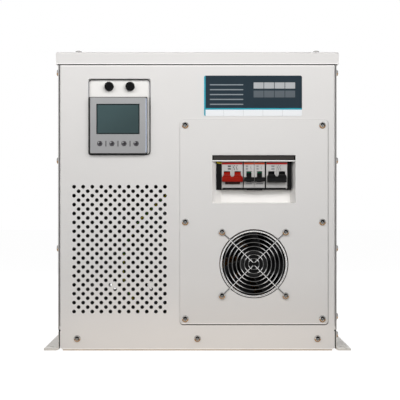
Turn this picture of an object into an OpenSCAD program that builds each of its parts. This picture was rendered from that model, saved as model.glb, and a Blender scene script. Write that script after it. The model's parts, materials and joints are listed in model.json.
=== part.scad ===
// Isolation transformer in a vented sheet steel case with a breaker window, a fan and a panel meter.
// X runs to the right, Y into the case and Z up. The origin is on the floor, midway between the
// four foot holes.

/* [Case] */
// Width over the side panels
body_w = 460; // [450:1:520]
// Depth over the front and back panels
body_d = 300; // [290:1:380]
// Height from the floor to the top of the lid
body_h = 493; // [485:1:560]
// Thickness of the panels, the lid and the service plate
sheet_t = 2; // [1.5:0.1:2.5]
// Outer radius of the bends in the panels
bend_r = 3; // [2.6:0.1:4]
// Depth of the returns bent back from the panel edges
return_d = 24; // [20:1:28]
// Radius of the two bottom corners of the front panel
panel_corner_r = 7; // [3:1:12]

/* [Lid] */
// How far the lid stands out past the panels
lid_over = 3.3; // [2:0.1:6]
// Height of the lid skirt
skirt_h = 20; // [12:1:26]
// Distance of the lid screws from the side faces
lid_screw_in = 33; // [25:1:60]

/* [Base] */
// Height of the base under the side panels
base_h = 34; // [30:1:38]
// Thickness of the base steel
base_t = 3; // [2:0.5:4]
// Reach of each foot past the side
foot_out = 24; // [22:1:40]
// Distance of the foot holes from the side
foot_hole_out = 13.5; // [12:0.5:16]
// Distance between the front and rear foot holes
foot_pitch = 226; // [150:1:250]
// Diameter of the foot holes
foot_hole_d = 9; // [6:0.5:10]

/* [Vents] */
// Diameter of one vent hole
vent_d = 5.4; // [3:0.1:6]
// Distance between the holes of one row
vent_pitch = 15; // [14:0.1:15.4]
// Height of one step from row to row
vent_step = 7.36; // [7:0.02:7.6]
// Number of holes in a full row
vent_cols = 11; // [6:1:11]
// Number of rows
vent_rows = 29; // [9:2:29]

/* [Service plate] */
// Width of the plate on each side of the breaker window
plate_side = 53; // [50:0.5:56]
// Distance of the plate from the right side of the case
plate_in = 14.8; // [12:0.1:18]
// Bottom edge of the plate above the floor
plate_z = 44; // [40:1:48]
// Distance of the plate screws from its edges
plate_screw_in = 8.8; // [7:0.2:9]
// Room beside the breaker row in its window
window_side = 6.6; // [5:0.1:8]
// Height of the breaker window
window_h = 81; // [76:1:90]
// Depth of the recess behind the window
recess_d = 22; // [18:1:26]

/* [Breakers] */
// Width of one breaker module
module_w = 17.6; // [17:0.1:18]
// Height of the raised nose of a breaker
nose_h = 45; // [40:1:46]
// Height of a breaker over its terminals
breaker_h = 86; // [80:1:90]
// Depth of a breaker from the rail to the face of the nose
breaker_d = 60; // [56:1:66]
// Step from the face of the nose back to the terminals
shoulder_d = 16; // [14:1:18]
// Angle of a switched off lever below the horizontal
lever_off_angle = 19; // [16:1:24]

/* [Meter] */
// Width of the opening for the meter
opening_w = 103; // [101:0.5:110]
// Height of the opening for the meter
opening_h = 126.4; // [124:0.2:132]
// Centre of the opening to the left of the middle of the case
opening_x = 128.6; // [126:0.2:132]
// Top of the opening below the top of the lid
opening_drop = 43.9; // [42:0.1:52]
// Side of the square meter frame where it meets its plate
meter_size = 96; // [92:0.5:98]
// Side of the square meter face
meter_face = 91.3; // [89:0.1:91.5]
// Height of the meter frame over its plate
meter_rise = 15; // [10:0.5:18]
// Side of the square meter case behind the plate
meter_case = 90; // [84:0.5:90.5]
// Depth of the meter case behind the plate
meter_depth = 46; // [36:1:60]
// Width of the display
display_w = 71; // [64:0.5:74]
// Height of the display
display_h = 50; // [44:0.5:52]
// Diameter of the meter buttons
button_d = 8; // [6:0.2:9]
// Distance between the meter buttons
button_pitch = 19.9; // [18:0.1:20.5]
// Travel of the meter buttons
button_travel = 0.8; // [0.4:0.1:1]
// Diameter of the fuse caps
cap_d = 14.6; // [12:0.1:16]
// Height of the fuse caps
cap_h = 8; // [6:0.5:10]
// Distance between the fuse caps
cap_pitch = 34.7; // [30:0.1:38]

/* [Data plate] */
// Width of the data plate
data_w = 161.7; // [140:0.1:170]
// Height of the data plate
data_h = 66.8; // [50:0.1:68]
// Thickness of the data plate
data_t = 0.6; // [0.4:0.1:1.2]
// Distance of the data plate below the lid
data_drop = 18.8; // [12:0.1:24]
// Distance of the data plate above the service plate
data_gap = 6.4; // [4:0.1:10]

/* [Fan] */
// Side of the square fan housing
fan_size = 120; // [118:0.5:121]
// Depth of the fan
fan_d = 38; // [32:1:40]
// Distance between the fan screws
fan_pitch = 105; // [104:0.5:106]
// Radius of the hole in the plate in front of the fan
fan_hole_r = 57; // [55.5:0.1:57.1]
// Radius over the tips of the blades
blade_tip_r = 55; // [52:0.2:55.4]
// Radius of the hub
hub_r = 24; // [20:0.5:28]
// Number of blades
blade_count = 7; // [5:1:9]
// Twist of a blade from front to back
blade_twist = 34; // [24:1:38]
// Radius of the guard wire
wire_r = 0.95; // [0.8:0.05:1.1]
// Radius of the smallest guard ring
ring_first_r = 8.9; // [8:0.1:10]
// Distance from one guard ring to the next
ring_step = 6.7; // [6.2:0.1:6.8]

/* [Transformer] */
// Width of the centre limb of the core
limb_w = 80; // [70:1:84]
// Depth of the stack of laminations
stack_d = 90; // [70:1:96]
// Thickness of the wall of the coil former
former_t = 2; // [1.5:0.5:3]
// Build of the primary winding
primary_t = 15; // [12:0.5:16]
// Build of the secondary winding
secondary_t = 14; // [12:0.5:15]
// Width of the clamp angles
clamp_w = 30; // [26:1:34]
// Thickness of the clamp angles
clamp_t = 4; // [3:0.5:5]
// Height of the rubber pads
pad_h = 6; // [4:0.5:8]

/* [Cable entries] */
// Bore of the cable glands
gland_bore_d = 16; // [12:0.5:17]
// Thread diameter of the cable glands
gland_thread_d = 25; // [24:0.5:27]
// Distance between the two glands
gland_pitch = 70; // [55:1:90]
// Height of the glands above the floor
gland_z = 90; // [80:1:110]

/* [Hidden] */

// Overrun of every cut past the faces that it opens
over = 1;
// Gap between bolted or stacked pieces
fit = 0.3;
// Radial gap of a shaft or stem that turns or slides in its bore
run_gap = 0.05;
// Radial gap of a screw in its hole
hole_gap = 0.2;
// Gap round a lever or button in its slot
slot_gap = 0.3;
// Steps of a rounded corner
corner_steps = 6;
// Sides of the larger circles
fine = 96;
// Sides of the small circles
small = 32;
// Sides of a hexagon
hexagon = 6;

half_w = body_w / 2;
front_y = -body_d / 2;
back_y = body_d / 2;
inner_x = half_w - sheet_t;
lid_under = body_h - sheet_t;
panel_top = lid_under - fit;
panel_foot = sheet_t;
panel_half = inner_x - fit;
return_z = base_h + 2 * sheet_t + fit;

// Screws of the case, M6 with domed heads
case_screw_r = 3;
case_head_r = 5.5;
case_head_h = 3.7;
case_screw_l = 12;
// Heights of the side screws as shares of the height of the case
side_screw_shares = [0.342, 0.637, 0.932];
// Distance of the side screws from the front and back faces
side_screw_in = 12;
// Height of the bottom screws of the front and back panels
foot_screw_z = 20;
foot_screw_in = 31.5;
foot_screw_x = half_w - foot_screw_in;
// Two more screws at the front of the right side, into the panel return and the base
high_screw_z = 56;
low_screw_z = 26;
side_return_w = 16;
foot_return_d = 12;

// Bends of the base and its flanges behind the front and back panels
base_bend_in = 1;
base_front = front_y + sheet_t + fit;
base_back = back_y - sheet_t - fit;
base_flange_z = panel_foot + sheet_t + fit;

// Lowest row of the vents
vent_z = 64.6;
opening_corner_r = 4;
window_corner_r = 1;

// Studs welded behind the panels, each on its foot
stud_foot_r = 4;
stud_foot_h = 1;

blank_w = module_w / 2;
divider_w = 2;
module_count = 6;
switch_gap = 1.2;
end_blank_w = 7.2;
row_w = blank_w + module_count * module_w + switch_gap + divider_w + end_blank_w;
window_w = row_w + 2 * window_side;

// The service plate reaches from its lower edge up to the data plate
data_z = body_h - skirt_h - data_drop - data_h;
plate_front = front_y - sheet_t;
plate_top = data_z - data_gap;
plate_h = plate_top - plate_z;
plate_w = window_w + 2 * plate_side;
plate_x = half_w - plate_in - plate_w / 2;
plate_screw_x = plate_w / 2 - plate_screw_in;
plate_screw_zs = [plate_z + plate_screw_in, plate_z + plate_h / 2, plate_top - plate_screw_in];
plate_corner_r = 5;
// How far the opening of the front panel stays inside the edges of the plate
opening_in = 14;

// Spare height of the plate, and its parts below the fan, between fan and window, and above the window
plate_spare = plate_h - fan_size - window_h;
spare_parts = [79, 80, 113];
spare_unit = plate_spare / (spare_parts[0] + spare_parts[1] + spare_parts[2]);
fan_z = plate_z + spare_parts[0] * spare_unit + fan_size / 2;
window_top = plate_top - spare_parts[2] * spare_unit;
window_z = window_top - window_h;
tray_t = 1.5;
tray_lip = 7;
// Slopes of the side walls, the floor and the ceiling of the recess
tray_left_slope = 15.5;
tray_right_slope = 8;
tray_floor_slope = 1;
tray_top_slope = 2;
recess_y = front_y + recess_d;
hood_t = 1.5;
hood_h = 10;

// Breaker row, its nose faces stand in front of the back wall of the recess
nose_stand = 14;
nose_drop = 2;
nose_round = 1.5;
device_gap = 0.25;
blank_step = 4;
nose_y = recess_y - nose_stand;
rail_y = nose_y + breaker_d;
shoulder_y = nose_y + shoulder_d;
row_up = 6;
row_z = window_z + window_h / 2 + row_up;
// Groove between the poles of one device
seam_w = 0.8;
seam_d = 2;
row_shift = 0.6;
row_x = plate_x - row_w / 2 + row_shift;
main_x = row_x + blank_w;
input_x = main_x + 2 * module_w + switch_gap;
output_x = input_x + module_w;
divider_x = output_x + module_w;
load_x = divider_x + divider_w;
load_end = load_x + 2 * module_w;
row_end = load_end + end_blank_w;

// Levers turn about a pivot just behind the nose face
lever_drop = 2.6;
lever_z = row_z - lever_drop;
lever_pivot_in = 5;
lever_y = nose_y + lever_pivot_in;
lever_reach = 13;
lever_drum_r = 8.2;
lever_slot_half = 9;
lever_pin_r = 1.5;
lever_pin_l = 1.2;
neck_t = 4.6;
main_neck_w = 10;
single_neck_w = 7.8;
// Shoulders between the necks and the bar of a two pole lever
neck_flare = 2.2;
flare_h = 2.8;
bar_d = 6;
bar_round = 1.5;
bar_in = 0.5;
main_bar_h = 8;
single_bar_h = 6.2;
load_bar_h = 9.4;
terminal_r = 2.8;
terminal_d = 12;
entry_in = 2;

rail_w = 35;
rail_t = 1;
rail_deep = 7.5;
rail_inner_w = 27;
rail_grip_d = 3;
rail_l = window_w + 2 * tray_lip + 2 * fit;
bracket_foot = 14;
rail_bracket_w = 16;
rail_bracket_t = 2;

meter_shift = 2;
meter_x = -opening_x - meter_shift;
opening_top = body_h - opening_drop;
opening_z = opening_top - opening_h;
meter_up = 0.8;
meter_z = opening_z + meter_size / 2 + meter_up;
meter_plate_gap = 2;
meter_plate_y = front_y + sheet_t + meter_plate_gap;
meter_plate_t = 1.5;
meter_back = meter_plate_y + meter_plate_t;
meter_front = meter_plate_y - meter_rise;
meter_lap = 12;
fascia_t = 1;
display_up = 10.5;
display_t = 2;
display_sink = 0.4;
display_lip = 2;
fascia_corner_r = 1;
button_drop = 30;
button_l = 5;
button_stand = 0.9;
button_round = 1;
stud_r = 2;
stud_l = 9;
stud_in = 5;
nut_h = 3.2;
nut_r = 4;
clamp_out = 6;
clamp_block_l = 26;
clamp_block_h = 16;
cap_drop = 12.6;
cap_z = opening_top - cap_drop;
barrel_r = 5.8;
barrel_l = 30;
flange_r = 7.6;
flange_t = 1.6;
stem_r = 3.6;
stem_l = 12;
barrel_nut_r = 9;
barrel_nut_h = 3;
cap_round = 0.8;
cap_rim = 2.2;
cap_sink = 0.6;
cap_grooves = 12;
groove_r = 0.7;
cap_slot_l = 8;
cap_slot_w = 1.4;
link_r = 2.5;
link_l = 15;
cap_xs = [-opening_x - cap_pitch / 2, -opening_x + cap_pitch / 2];
cap_back = meter_plate_y - flange_t - fit;
stem_end = cap_back + stem_l;
display_z = meter_z + display_up;
button_z = meter_z - button_drop;
button_xs = [for (i = [0:3]) meter_x + (i - 1.5) * button_pitch];
stud_points = [
    for (x = [-1, 1], z = [-1, 1])
        [
            x * (opening_w / 2 + meter_lap - stud_in) - opening_x,
            opening_z + opening_h / 2 + z * (opening_h / 2 + meter_lap - stud_in)
        ]
];

data_shift = 1.4;
data_x = plate_x - data_shift;
data_corner_r = 3;

fan_y = front_y;
fan_back = fan_y + fan_d;
fan_rim_w = 2.8;
fan_wall_r = fan_size / 2 - fan_rim_w;
fan_flange_t = 4;
fan_screw_r = 2;
fan_head_r = 5.4;
fan_head_h = 3.2;
fan_shaft_r = 2.5;
strut_w = 7;
strut_t = 5;
motor_over = 2;
motor_r = hub_r + motor_over;
blade_t = 1.8;
// Angle by which a blade sweeps back from hub to tip, and how its curve grows
blade_sweep = 22;
blade_sweep_share = 1.6;
blade_steps = 6;
blade_slices = 6;
blade_edge_in = 3;
fan_corner_r = 6;
fan_wall_t = 2;
fan_post_r = 5;
hub_round = 2;
label_r = 17;
label_sink = 0.4;
rotor_gap = 1;
hub_front_in = 5;
rotor_l = fan_d - hub_front_in - strut_t - rotor_gap;
ring_count = 7;
ring_gap = 1.5;
outer_ring_r = fan_hole_r - wire_r - ring_gap;
// The eyes round the fan screws and the bends are a little thicker, so the straight wires end inside
eye_wire_r = wire_r * 1.15;
bend_wire_r = wire_r * 1.06;
loop_r = fan_screw_r + eye_wire_r + fit;
// The bent wires of the guard lie over its rings and are fused where they cross
wire_bite = 1.5;
apex_up = 1.2;
apex_bend_r = 4;

// Core of the shell type: side limbs and yokes are half as wide as the centre limb
yoke_w = limb_w / 2;
core_w = 3 * limb_w;
core_h = 2.5 * limb_w;
core_window_h = core_h - 2 * yoke_w;
core_x = 40;
core_y = 27;
clamp_foot = 30;
core_z = base_h + pad_h + clamp_t;
core_bolt_r = 4;
core_bolt_in = 18;
mount_bolt_r = 4;
former_gap = 0.4;
former_lip = 2;
former_z = core_z + yoke_w + former_gap;
former_top = core_z + core_h - yoke_w - former_gap;
clamp_z = base_h + pad_h;
pad_w = 28;
bolt_head_r = 7.5;
bolt_head_h = 5.3;
mount_bolt_in = 25;
core_bolt_points = [
    for (x = [-1, 1], z = [core_z + core_bolt_in, core_z + core_h - core_bolt_in])
        [core_x + x * (core_w / 2 - core_bolt_in), z]
];
mount_points = [
    for (x = [-1, 1], y = [-1, 1])
        [core_x + x * (core_w / 2 - mount_bolt_in), core_y + y * (stack_d / 2 + clamp_t + clamp_foot / 2)]
];
terminal_l = 120;
terminal_w = 22;
terminal_h = 20;
terminal_count = 6;

gland_x = -120;
gland_bore_r = gland_bore_d / 2;
gland_thread_r = gland_thread_d / 2;
gland_shoulder = 5;
gland_hex_r = gland_thread_r + gland_shoulder;
gland_neck_in = 1;
gland_neck_r = gland_thread_r - gland_neck_in;
gland_hex_h = 7;
gland_neck_l = 12;
gland_inner_l = 11;
dome_wall = 3;
gland_xs = [gland_x - gland_pitch / 2, gland_x + gland_pitch / 2];
locknut_h = 5;

// Earth lead from the stud on the base to the stud on the front panel, points chosen by hand
earth_r = 2.2;
earth_sides = 8;
lug_t = 1.2;
lug_r = 6;
sleeve_r = 3;
sleeve_l = 10;
earth_stud_x = -81;
earth_stud_r = 3;
earth_stud_l = 12;
earth_end_z = 295;
route_unit = 1;
earth_route = route_unit * [
    [-95, -118, 44], [-95, -118, 54], [-98, -119, 68], [-107, -121, 82], [-116, -123, 95],
    [-121, -124, 110], [-123.5, -124, 126], [-125, -124, 138], [-123, -124, 152], [-121, -124, 166],
    [-117, -124, 179], [-109, -124, 194], [-101, -124, 207], [-90, -124, 221], [-76, -124, 234],
    [-62, -125, 246], [-50, -127, 260], [-44, -130, 274], [-42, -132, 286]
];
earth_y = earth_route[0][1];
earth_end_x = earth_route[len(earth_route) - 1][0];
earth_lug_y = earth_route[len(earth_route) - 1][1];

function arc_points(cx, cy, r, from, to, steps = corner_steps) = [
    for (i = [0:steps])
        let (a = from + (to - from) * i / steps)
        [cx + r * cos(a), cy + r * sin(a)]
];

function round_rect(w, h, r) = concat(
    arc_points(w / 2 - r, h / 2 - r, r, 0, 90),
    arc_points(r - w / 2, h / 2 - r, r, 90, 180),
    arc_points(r - w / 2, r - h / 2, r, 180, 270),
    arc_points(w / 2 - r, r - h / 2, r, 270, 360)
);

// Extrudes a front view between two depths
module between_y(y0, y1) {
    translate([0, y1, 0])
        rotate([90, 0, 0])
            linear_extrude(y1 - y0)
                children();
}

// Extrudes a side view, drawn as depth and height, between two widths
module between_x(x0, x1) {
    translate([x0, 0, 0])
        rotate([90, 0, 90])
            linear_extrude(x1 - x0)
                children();
}

// Extrudes a plan view between two heights
module between_z(z0, z1) {
    translate([0, 0, z0])
        linear_extrude(z1 - z0)
            children();
}

module block(x0, x1, y0, y1, z0, z1) {
    translate([x0, y0, z0])
        cube([x1 - x0, y1 - y0, z1 - z0]);
}

module rod_y(x, z, r, y0, y1, sides = small) {
    translate([x, y1, z])
        rotate([90, 0, 0])
            cylinder(r = r, h = y1 - y0, $fn = sides);
}

module rod_x(y, z, r, x0, x1, sides = small) {
    translate([x0, y, z])
        rotate([0, 90, 0])
            cylinder(r = r, h = x1 - x0, $fn = sides);
}

module rod_z(x, y, r, z0, z1, sides = small) {
    translate([x, y, z0])
        cylinder(r = r, h = z1 - z0, $fn = sides);
}

// Domed screw with a hexagon socket, head up, its seat at height zero
module screw(head_r, head_h, shank_r, shank_l) {
    rim = head_h / 4;
    socket_r = head_r * 0.42;
    difference() {
        rotate_extrude($fn = small)
            polygon(concat(
                [[0, -shank_l], [shank_r, -shank_l], [shank_r, 0], [head_r, 0]],
                [for (a = [0:15:75]) [head_r * cos(a), rim + (head_h - rim) * sin(a)]],
                [[0, head_h]]
            ));
        translate([0, 0, head_h / 2])
            cylinder(r = socket_r, h = head_h, $fn = hexagon);
    }
}

module case_screw(length = case_screw_l) {
    screw(case_head_r, case_head_h, case_screw_r, length);
}

// Hexagon nut round a bore, standing on height zero
module nut(outer_r, bore_r, height) {
    difference() {
        cylinder(r = outer_r, h = height, $fn = hexagon);
        translate([0, 0, -over])
            cylinder(r = bore_r, h = height + 2 * over, $fn = small);
    }
}

// Plan view of a face panel with its two side returns, drawn for the front of the case
module folded_plan(half, depth, t, r) {
    inner_r = max(r - t, t / 4);
    right = concat(
        arc_points(half - r, r, r, 270, 360),
        [[half, depth], [half - t, depth]],
        arc_points(half - t - inner_r, t + inner_r, inner_r, 360, 270)
    );
    left = [for (i = [len(right) - 1:-1:0]) [-right[i][0], right[i][1]]];
    polygon(concat(right, left));
}

// Solid between a rectangle at one depth and another rectangle further in
module taper(front, y0, back, y1) {
    intersection() {
        between_z(min(front[2], back[2]), max(front[3], back[3]))
            polygon([[front[0], y0], [front[1], y0], [back[1], y1], [back[0], y1]]);
        between_x(min(front[0], back[0]), max(front[1], back[1]))
            polygon([[y0, front[2]], [y0, front[3]], [y1, back[3]], [y1, back[2]]]);
    }
}

// Hat section of thick steel with the feet bent outward and a flange under each end
module base_frame() {
    bend_out = base_t + base_bend_in;
    half = concat(
        [[0, base_h]],
        arc_points(half_w - bend_out, base_h - bend_out, bend_out, 90, 0),
        arc_points(half_w + bend_out, base_t + bend_out, bend_out, 180, 270),
        [[half_w + foot_out, base_t], [half_w + foot_out, 0]],
        arc_points(half_w + bend_out, base_t + bend_out, bend_out + base_t, 270, 180),
        arc_points(half_w - bend_out, base_h - bend_out, base_bend_in, 0, 90),
        [[0, base_h - base_t]]
    );
    color("gainsboro")
        difference() {
            union() {
                for (side = [0, 1])
                    mirror([side, 0, 0])
                        between_y(base_front, base_back)
                            polygon(half);
                for (y = [base_front, base_back - base_t])
                    block(base_t + fit - half_w, half_w - base_t - fit, y, y + base_t,
                          base_flange_z, base_h - base_t / 2);
                rod_z(earth_stud_x, earth_y, stud_foot_r, base_h - base_t / 2, base_h + stud_foot_h);
                rod_z(earth_stud_x, earth_y, earth_stud_r, base_h, base_h + earth_stud_l);
            }
            for (x = [-1, 1], y = [-1, 1])
                rod_z(x * (half_w + foot_hole_out), y * foot_pitch / 2, foot_hole_d / 2, -over, base_t + over);
            for (x = [-1:1], y = [base_front, base_back - base_t])
                rod_y(x * foot_screw_x, foot_screw_z, case_screw_r + hole_gap, y - over, y + base_t + over);
            for (p = mount_points)
                rod_z(p[0], p[1], mount_bolt_r + hole_gap, base_h - base_t - over, base_h + over);
            rod_x(front_y + side_screw_in, low_screw_z, case_screw_r + hole_gap,
                  half_w - base_t - over, half_w + over);
        }
}

// Full outline of a front or back panel below its returns, with rounded bottom corners
module panel_skirt() {
    r = panel_corner_r;
    polygon(concat(
        [[panel_half, return_z + sheet_t], [-panel_half, return_z + sheet_t]],
        arc_points(r - panel_half, panel_foot + r, r, 180, 270),
        arc_points(panel_half - r, panel_foot + r, r, 270, 360)
    ));
}

// Face panel of the case with its returns, before the openings of the front one are cut
module folded_panel() {
    difference() {
        union() {
            between_z(return_z, panel_top)
                translate([0, front_y])
                    folded_plan(panel_half, return_d, sheet_t, bend_r);
            between_y(front_y, front_y + sheet_t)
                panel_skirt();
            block(panel_corner_r - panel_half, panel_half - panel_corner_r,
                  front_y + sheet_t / 2, front_y + foot_return_d, panel_foot, panel_foot + sheet_t);
            block(bend_r - panel_half, panel_half - bend_r,
                  front_y + sheet_t / 2, front_y + return_d, panel_top - sheet_t, panel_top);
        }
        for (x = [-1:1])
            rod_y(x * foot_screw_x, foot_screw_z, case_screw_r + hole_gap,
                  front_y - over, front_y + sheet_t + over);
        for (x = [-1, 1])
            rod_z(x * (half_w - lid_screw_in), front_y + side_screw_in, case_screw_r + hole_gap,
                  panel_top - sheet_t - over, panel_top + over);
        for (share = side_screw_shares, x = [-1, 1])
            rod_x(front_y + side_screw_in, share * body_h, case_screw_r + hole_gap,
                  x * panel_half - (x + 1) / 2 * sheet_t - over, x * panel_half - (x - 1) / 2 * sheet_t + over);
    }
}

// Staggered field of vent holes, the odd rows one hole shorter
module vent_field() {
    for (row = [0:vent_rows - 1])
        for (i = [0:vent_cols - 1 - row % 2])
            translate([
                -opening_x + (i - (vent_cols - 1) / 2 + row % 2 / 2) * vent_pitch,
                vent_z + row * vent_step
            ])
                circle(d = vent_d, $fn = small / 2);
}

module front_panel() {
    color("gainsboro")
        difference() {
            union() {
                folded_panel();
                for (p = stud_points) {
                    rod_y(p[0], p[1], stud_foot_r, front_y + sheet_t / 2, meter_plate_y);
                    rod_y(p[0], p[1], stud_r, front_y + sheet_t / 2, meter_plate_y + stud_l);
                }
                rod_y(earth_end_x, earth_end_z, stud_foot_r, front_y + sheet_t / 2, earth_lug_y);
                rod_y(earth_end_x, earth_end_z, earth_stud_r, front_y + sheet_t / 2, earth_lug_y + earth_stud_l);
            }
            between_y(front_y - over, front_y + sheet_t + over) {
                translate([-opening_x, opening_z + opening_h / 2])
                    polygon(round_rect(opening_w, opening_h, opening_corner_r));
                translate([plate_x, plate_z + plate_h / 2])
                    polygon(round_rect(plate_w - 2 * opening_in, plate_h - 2 * opening_in, opening_corner_r));
                for (x = [-1, 1], z = plate_screw_zs)
                    translate([plate_x + x * plate_screw_x, z])
                        circle(r = case_screw_r + hole_gap, $fn = small);
            }
            between_y(front_y - over, front_y + sheet_t + over)
                vent_field();
            rod_x(front_y + side_screw_in, high_screw_z, case_screw_r + hole_gap,
                  panel_half - sheet_t - over, panel_half + over);
        }
}

module back_panel() {
    color("gainsboro")
        rotate([0, 0, 180])
            difference() {
                folded_panel();
                for (x = gland_xs)
                    rod_y(-x, gland_z, gland_thread_r + hole_gap, front_y - over, front_y + sheet_t + over);
            }
}

// Right side panel, flat but for the return that lies on the base
module side_sheet() {
    difference() {
        union() {
            block(inner_x, half_w, front_y, back_y, base_h + fit, panel_top);
            block(inner_x - side_return_w, half_w - sheet_t / 2, front_y + return_d + sheet_t,
                  back_y - return_d - sheet_t, base_h + fit, base_h + fit + sheet_t);
        }
        for (share = side_screw_shares, y = [-1, 1])
            rod_x(y * (body_d / 2 - side_screw_in), share * body_h, case_screw_r + hole_gap,
                  inner_x - over, half_w + over);
    }
}

module right_side_panel() {
    color("gainsboro")
        difference() {
            side_sheet();
            rod_x(front_y + side_screw_in, high_screw_z, case_screw_r + hole_gap, inner_x - over, half_w + over);
        }
}

module left_side_panel() {
    color("gainsboro")
        mirror([1, 0, 0])
            side_sheet();
}

// End view of the lid with its two rounded top edges
module lid_section(half) {
    polygon(concat(
        [[-half, body_h - skirt_h], [half, body_h - skirt_h]],
        arc_points(half - bend_r, body_h - bend_r, bend_r, 0, 90),
        arc_points(bend_r - half, body_h - bend_r, bend_r, 90, 180)
    ));
}

module lid() {
    hx = half_w + lid_over;
    hy = body_d / 2 + lid_over;
    color("gainsboro")
        difference() {
            intersection() {
                between_y(-hy, hy)
                    lid_section(hx);
                between_x(-hx, hx)
                    lid_section(hy);
            }
            block(sheet_t - hx, hx - sheet_t, sheet_t - hy, hy - sheet_t, body_h - skirt_h - over, lid_under);
            for (x = [-1, 1], y = [-1, 1])
                rod_z(x * (half_w - lid_screw_in), y * (body_d / 2 - side_screw_in),
                      case_screw_r + hole_gap, lid_under - over, body_h + over);
        }
}

module service_plate() {
    color("gainsboro")
        between_y(plate_front, front_y)
            difference() {
                translate([plate_x, plate_z + plate_h / 2])
                    polygon(round_rect(plate_w, plate_h, plate_corner_r));
                translate([plate_x, window_z + window_h / 2])
                    polygon(round_rect(window_w, window_h, window_corner_r));
                translate([plate_x, fan_z])
                    circle(r = fan_hole_r, $fn = fine);
                for (x = [-1, 1], z = plate_screw_zs)
                    translate([plate_x + x * plate_screw_x, z])
                        circle(r = case_screw_r + hole_gap, $fn = small);
                for (x = [-1, 1], z = [-1, 1])
                    translate([plate_x + x * fan_pitch / 2, fan_z + z * fan_pitch / 2])
                        circle(r = fan_screw_r + hole_gap, $fn = small);
            }
}

// Rectangle of the recess at a depth behind the case front, shrunk or grown by a margin
function recess_rect(depth, grow) =
    let (share = depth / recess_d)
    [
        plate_x - window_w / 2 + tray_left_slope * share - grow,
        plate_x + window_w / 2 - tray_right_slope * share + grow,
        window_z + tray_floor_slope * share - grow,
        window_top - tray_top_slope * share + grow
    ];

// White tray whose walls slope back to the wall that the breaker noses come through
module recess_tray() {
    lip = recess_rect(0, tray_lip);
    color("whitesmoke")
        difference() {
            union() {
                block(lip[0], lip[1], front_y, front_y + tray_t, lip[2], lip[3]);
                taper(recess_rect(0, tray_t), front_y, recess_rect(recess_d, tray_t), recess_y + tray_t);
            }
            taper(recess_rect(-over, 0), front_y - over, recess_rect(recess_d, 0), recess_y);
            block(row_x - slot_gap, row_end + slot_gap, nose_y - over, recess_y + tray_t + over,
                  row_z - nose_h / 2 - nose_drop, row_z + nose_h / 2 + slot_gap);
        }
}

// Dark strip across the top of the recess
module recess_hood() {
    color("dimgray")
        intersection() {
            taper(recess_rect(0, -fit / 2), front_y, recess_rect(recess_d, -fit / 2), recess_y);
            block(plate_x - window_w / 2, plate_x + window_w / 2, front_y, front_y + hood_t,
                  window_top - hood_h, window_top);
        }
}

module data_plate() {
    color("slategray")
        between_y(front_y - data_t, front_y)
            translate([data_x, data_z + data_h / 2])
                polygon(round_rect(data_w, data_h, data_corner_r));
}

module meter_plate() {
    color("whitesmoke")
        between_y(meter_plate_y, meter_back)
            difference() {
                translate([-opening_x, opening_z + opening_h / 2])
                    polygon(round_rect(opening_w + 2 * meter_lap, opening_h + 2 * meter_lap, opening_corner_r));
                translate([meter_x, meter_z])
                    square(meter_case + fit, center = true);
                for (x = cap_xs)
                    translate([x, cap_z])
                        circle(r = barrel_r + hole_gap, $fn = small);
                for (p = stud_points)
                    translate(p)
                        circle(r = stud_r + hole_gap, $fn = small);
            }
}

module meter_plate_nuts() {
    color("silver")
        for (p = stud_points)
            translate([p[0], meter_back, p[1]])
                rotate([-90, 0, 0])
                    nut(nut_r, stud_r + run_gap, nut_h);
}

// Square seen from the front, as a rectangle of the taper module
function square_rect(side) = [
    meter_x - side / 2, meter_x + side / 2, meter_z - side / 2, meter_z + side / 2
];

// Black moulding of the meter: sloping frame, pockets of the display and buttons, case behind
module meter_case_body() {
    face_y = meter_front + fascia_t;
    pocket_w = display_w + 2 * display_lip;
    pocket_h = display_h + 2 * display_lip;
    color("black")
        difference() {
            union() {
                taper(square_rect(meter_face), face_y, square_rect(meter_size), meter_plate_y);
                block(meter_x - meter_case / 2, meter_x + meter_case / 2, meter_plate_y - fascia_t,
                      meter_back + meter_depth, meter_z - meter_case / 2, meter_z + meter_case / 2);
            }
            block(meter_x - pocket_w / 2, meter_x + pocket_w / 2, face_y - over, face_y + display_t + fit,
                  display_z - pocket_h / 2, display_z + pocket_h / 2);
            for (x = button_xs)
                rod_y(x, button_z, button_d / 2 + slot_gap, face_y - over,
                      meter_front + button_l + button_travel + fit);
        }
}

module meter_fascia() {
    color("darkgray")
        between_y(meter_front, meter_front + fascia_t)
            difference() {
                translate([meter_x, meter_z])
                    polygon(round_rect(meter_face, meter_face, fascia_corner_r));
                translate([meter_x, display_z])
                    square([display_w, display_h], center = true);
                for (x = button_xs)
                    translate([x, button_z])
                        circle(r = button_d / 2 + slot_gap, $fn = small);
            }
}

// Display glass with a lip that the fascia holds down
module meter_display() {
    glass_w = display_w - 2 * slot_gap;
    glass_h = display_h - 2 * slot_gap;
    face_y = meter_front + fascia_t;
    lip = display_lip - slot_gap;
    color("darkslategray")
        union() {
            block(meter_x - glass_w / 2, meter_x + glass_w / 2, meter_front + display_sink,
                  face_y + display_t, display_z - glass_h / 2, display_z + glass_h / 2);
            block(meter_x - display_w / 2 - lip, meter_x + display_w / 2 + lip, face_y, face_y + display_t,
                  display_z - display_h / 2 - lip, display_z + display_h / 2 + lip);
        }
}

module meter_clamps() {
    color("black")
        for (side = [-1, 1]) {
            inner = meter_x + side * meter_case / 2;
            outer = inner + side * clamp_out;
            block(min(inner, outer), max(inner, outer), meter_back, meter_back + clamp_block_l,
                  meter_z - clamp_block_h / 2, meter_z + clamp_block_h / 2);
        }
}

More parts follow.
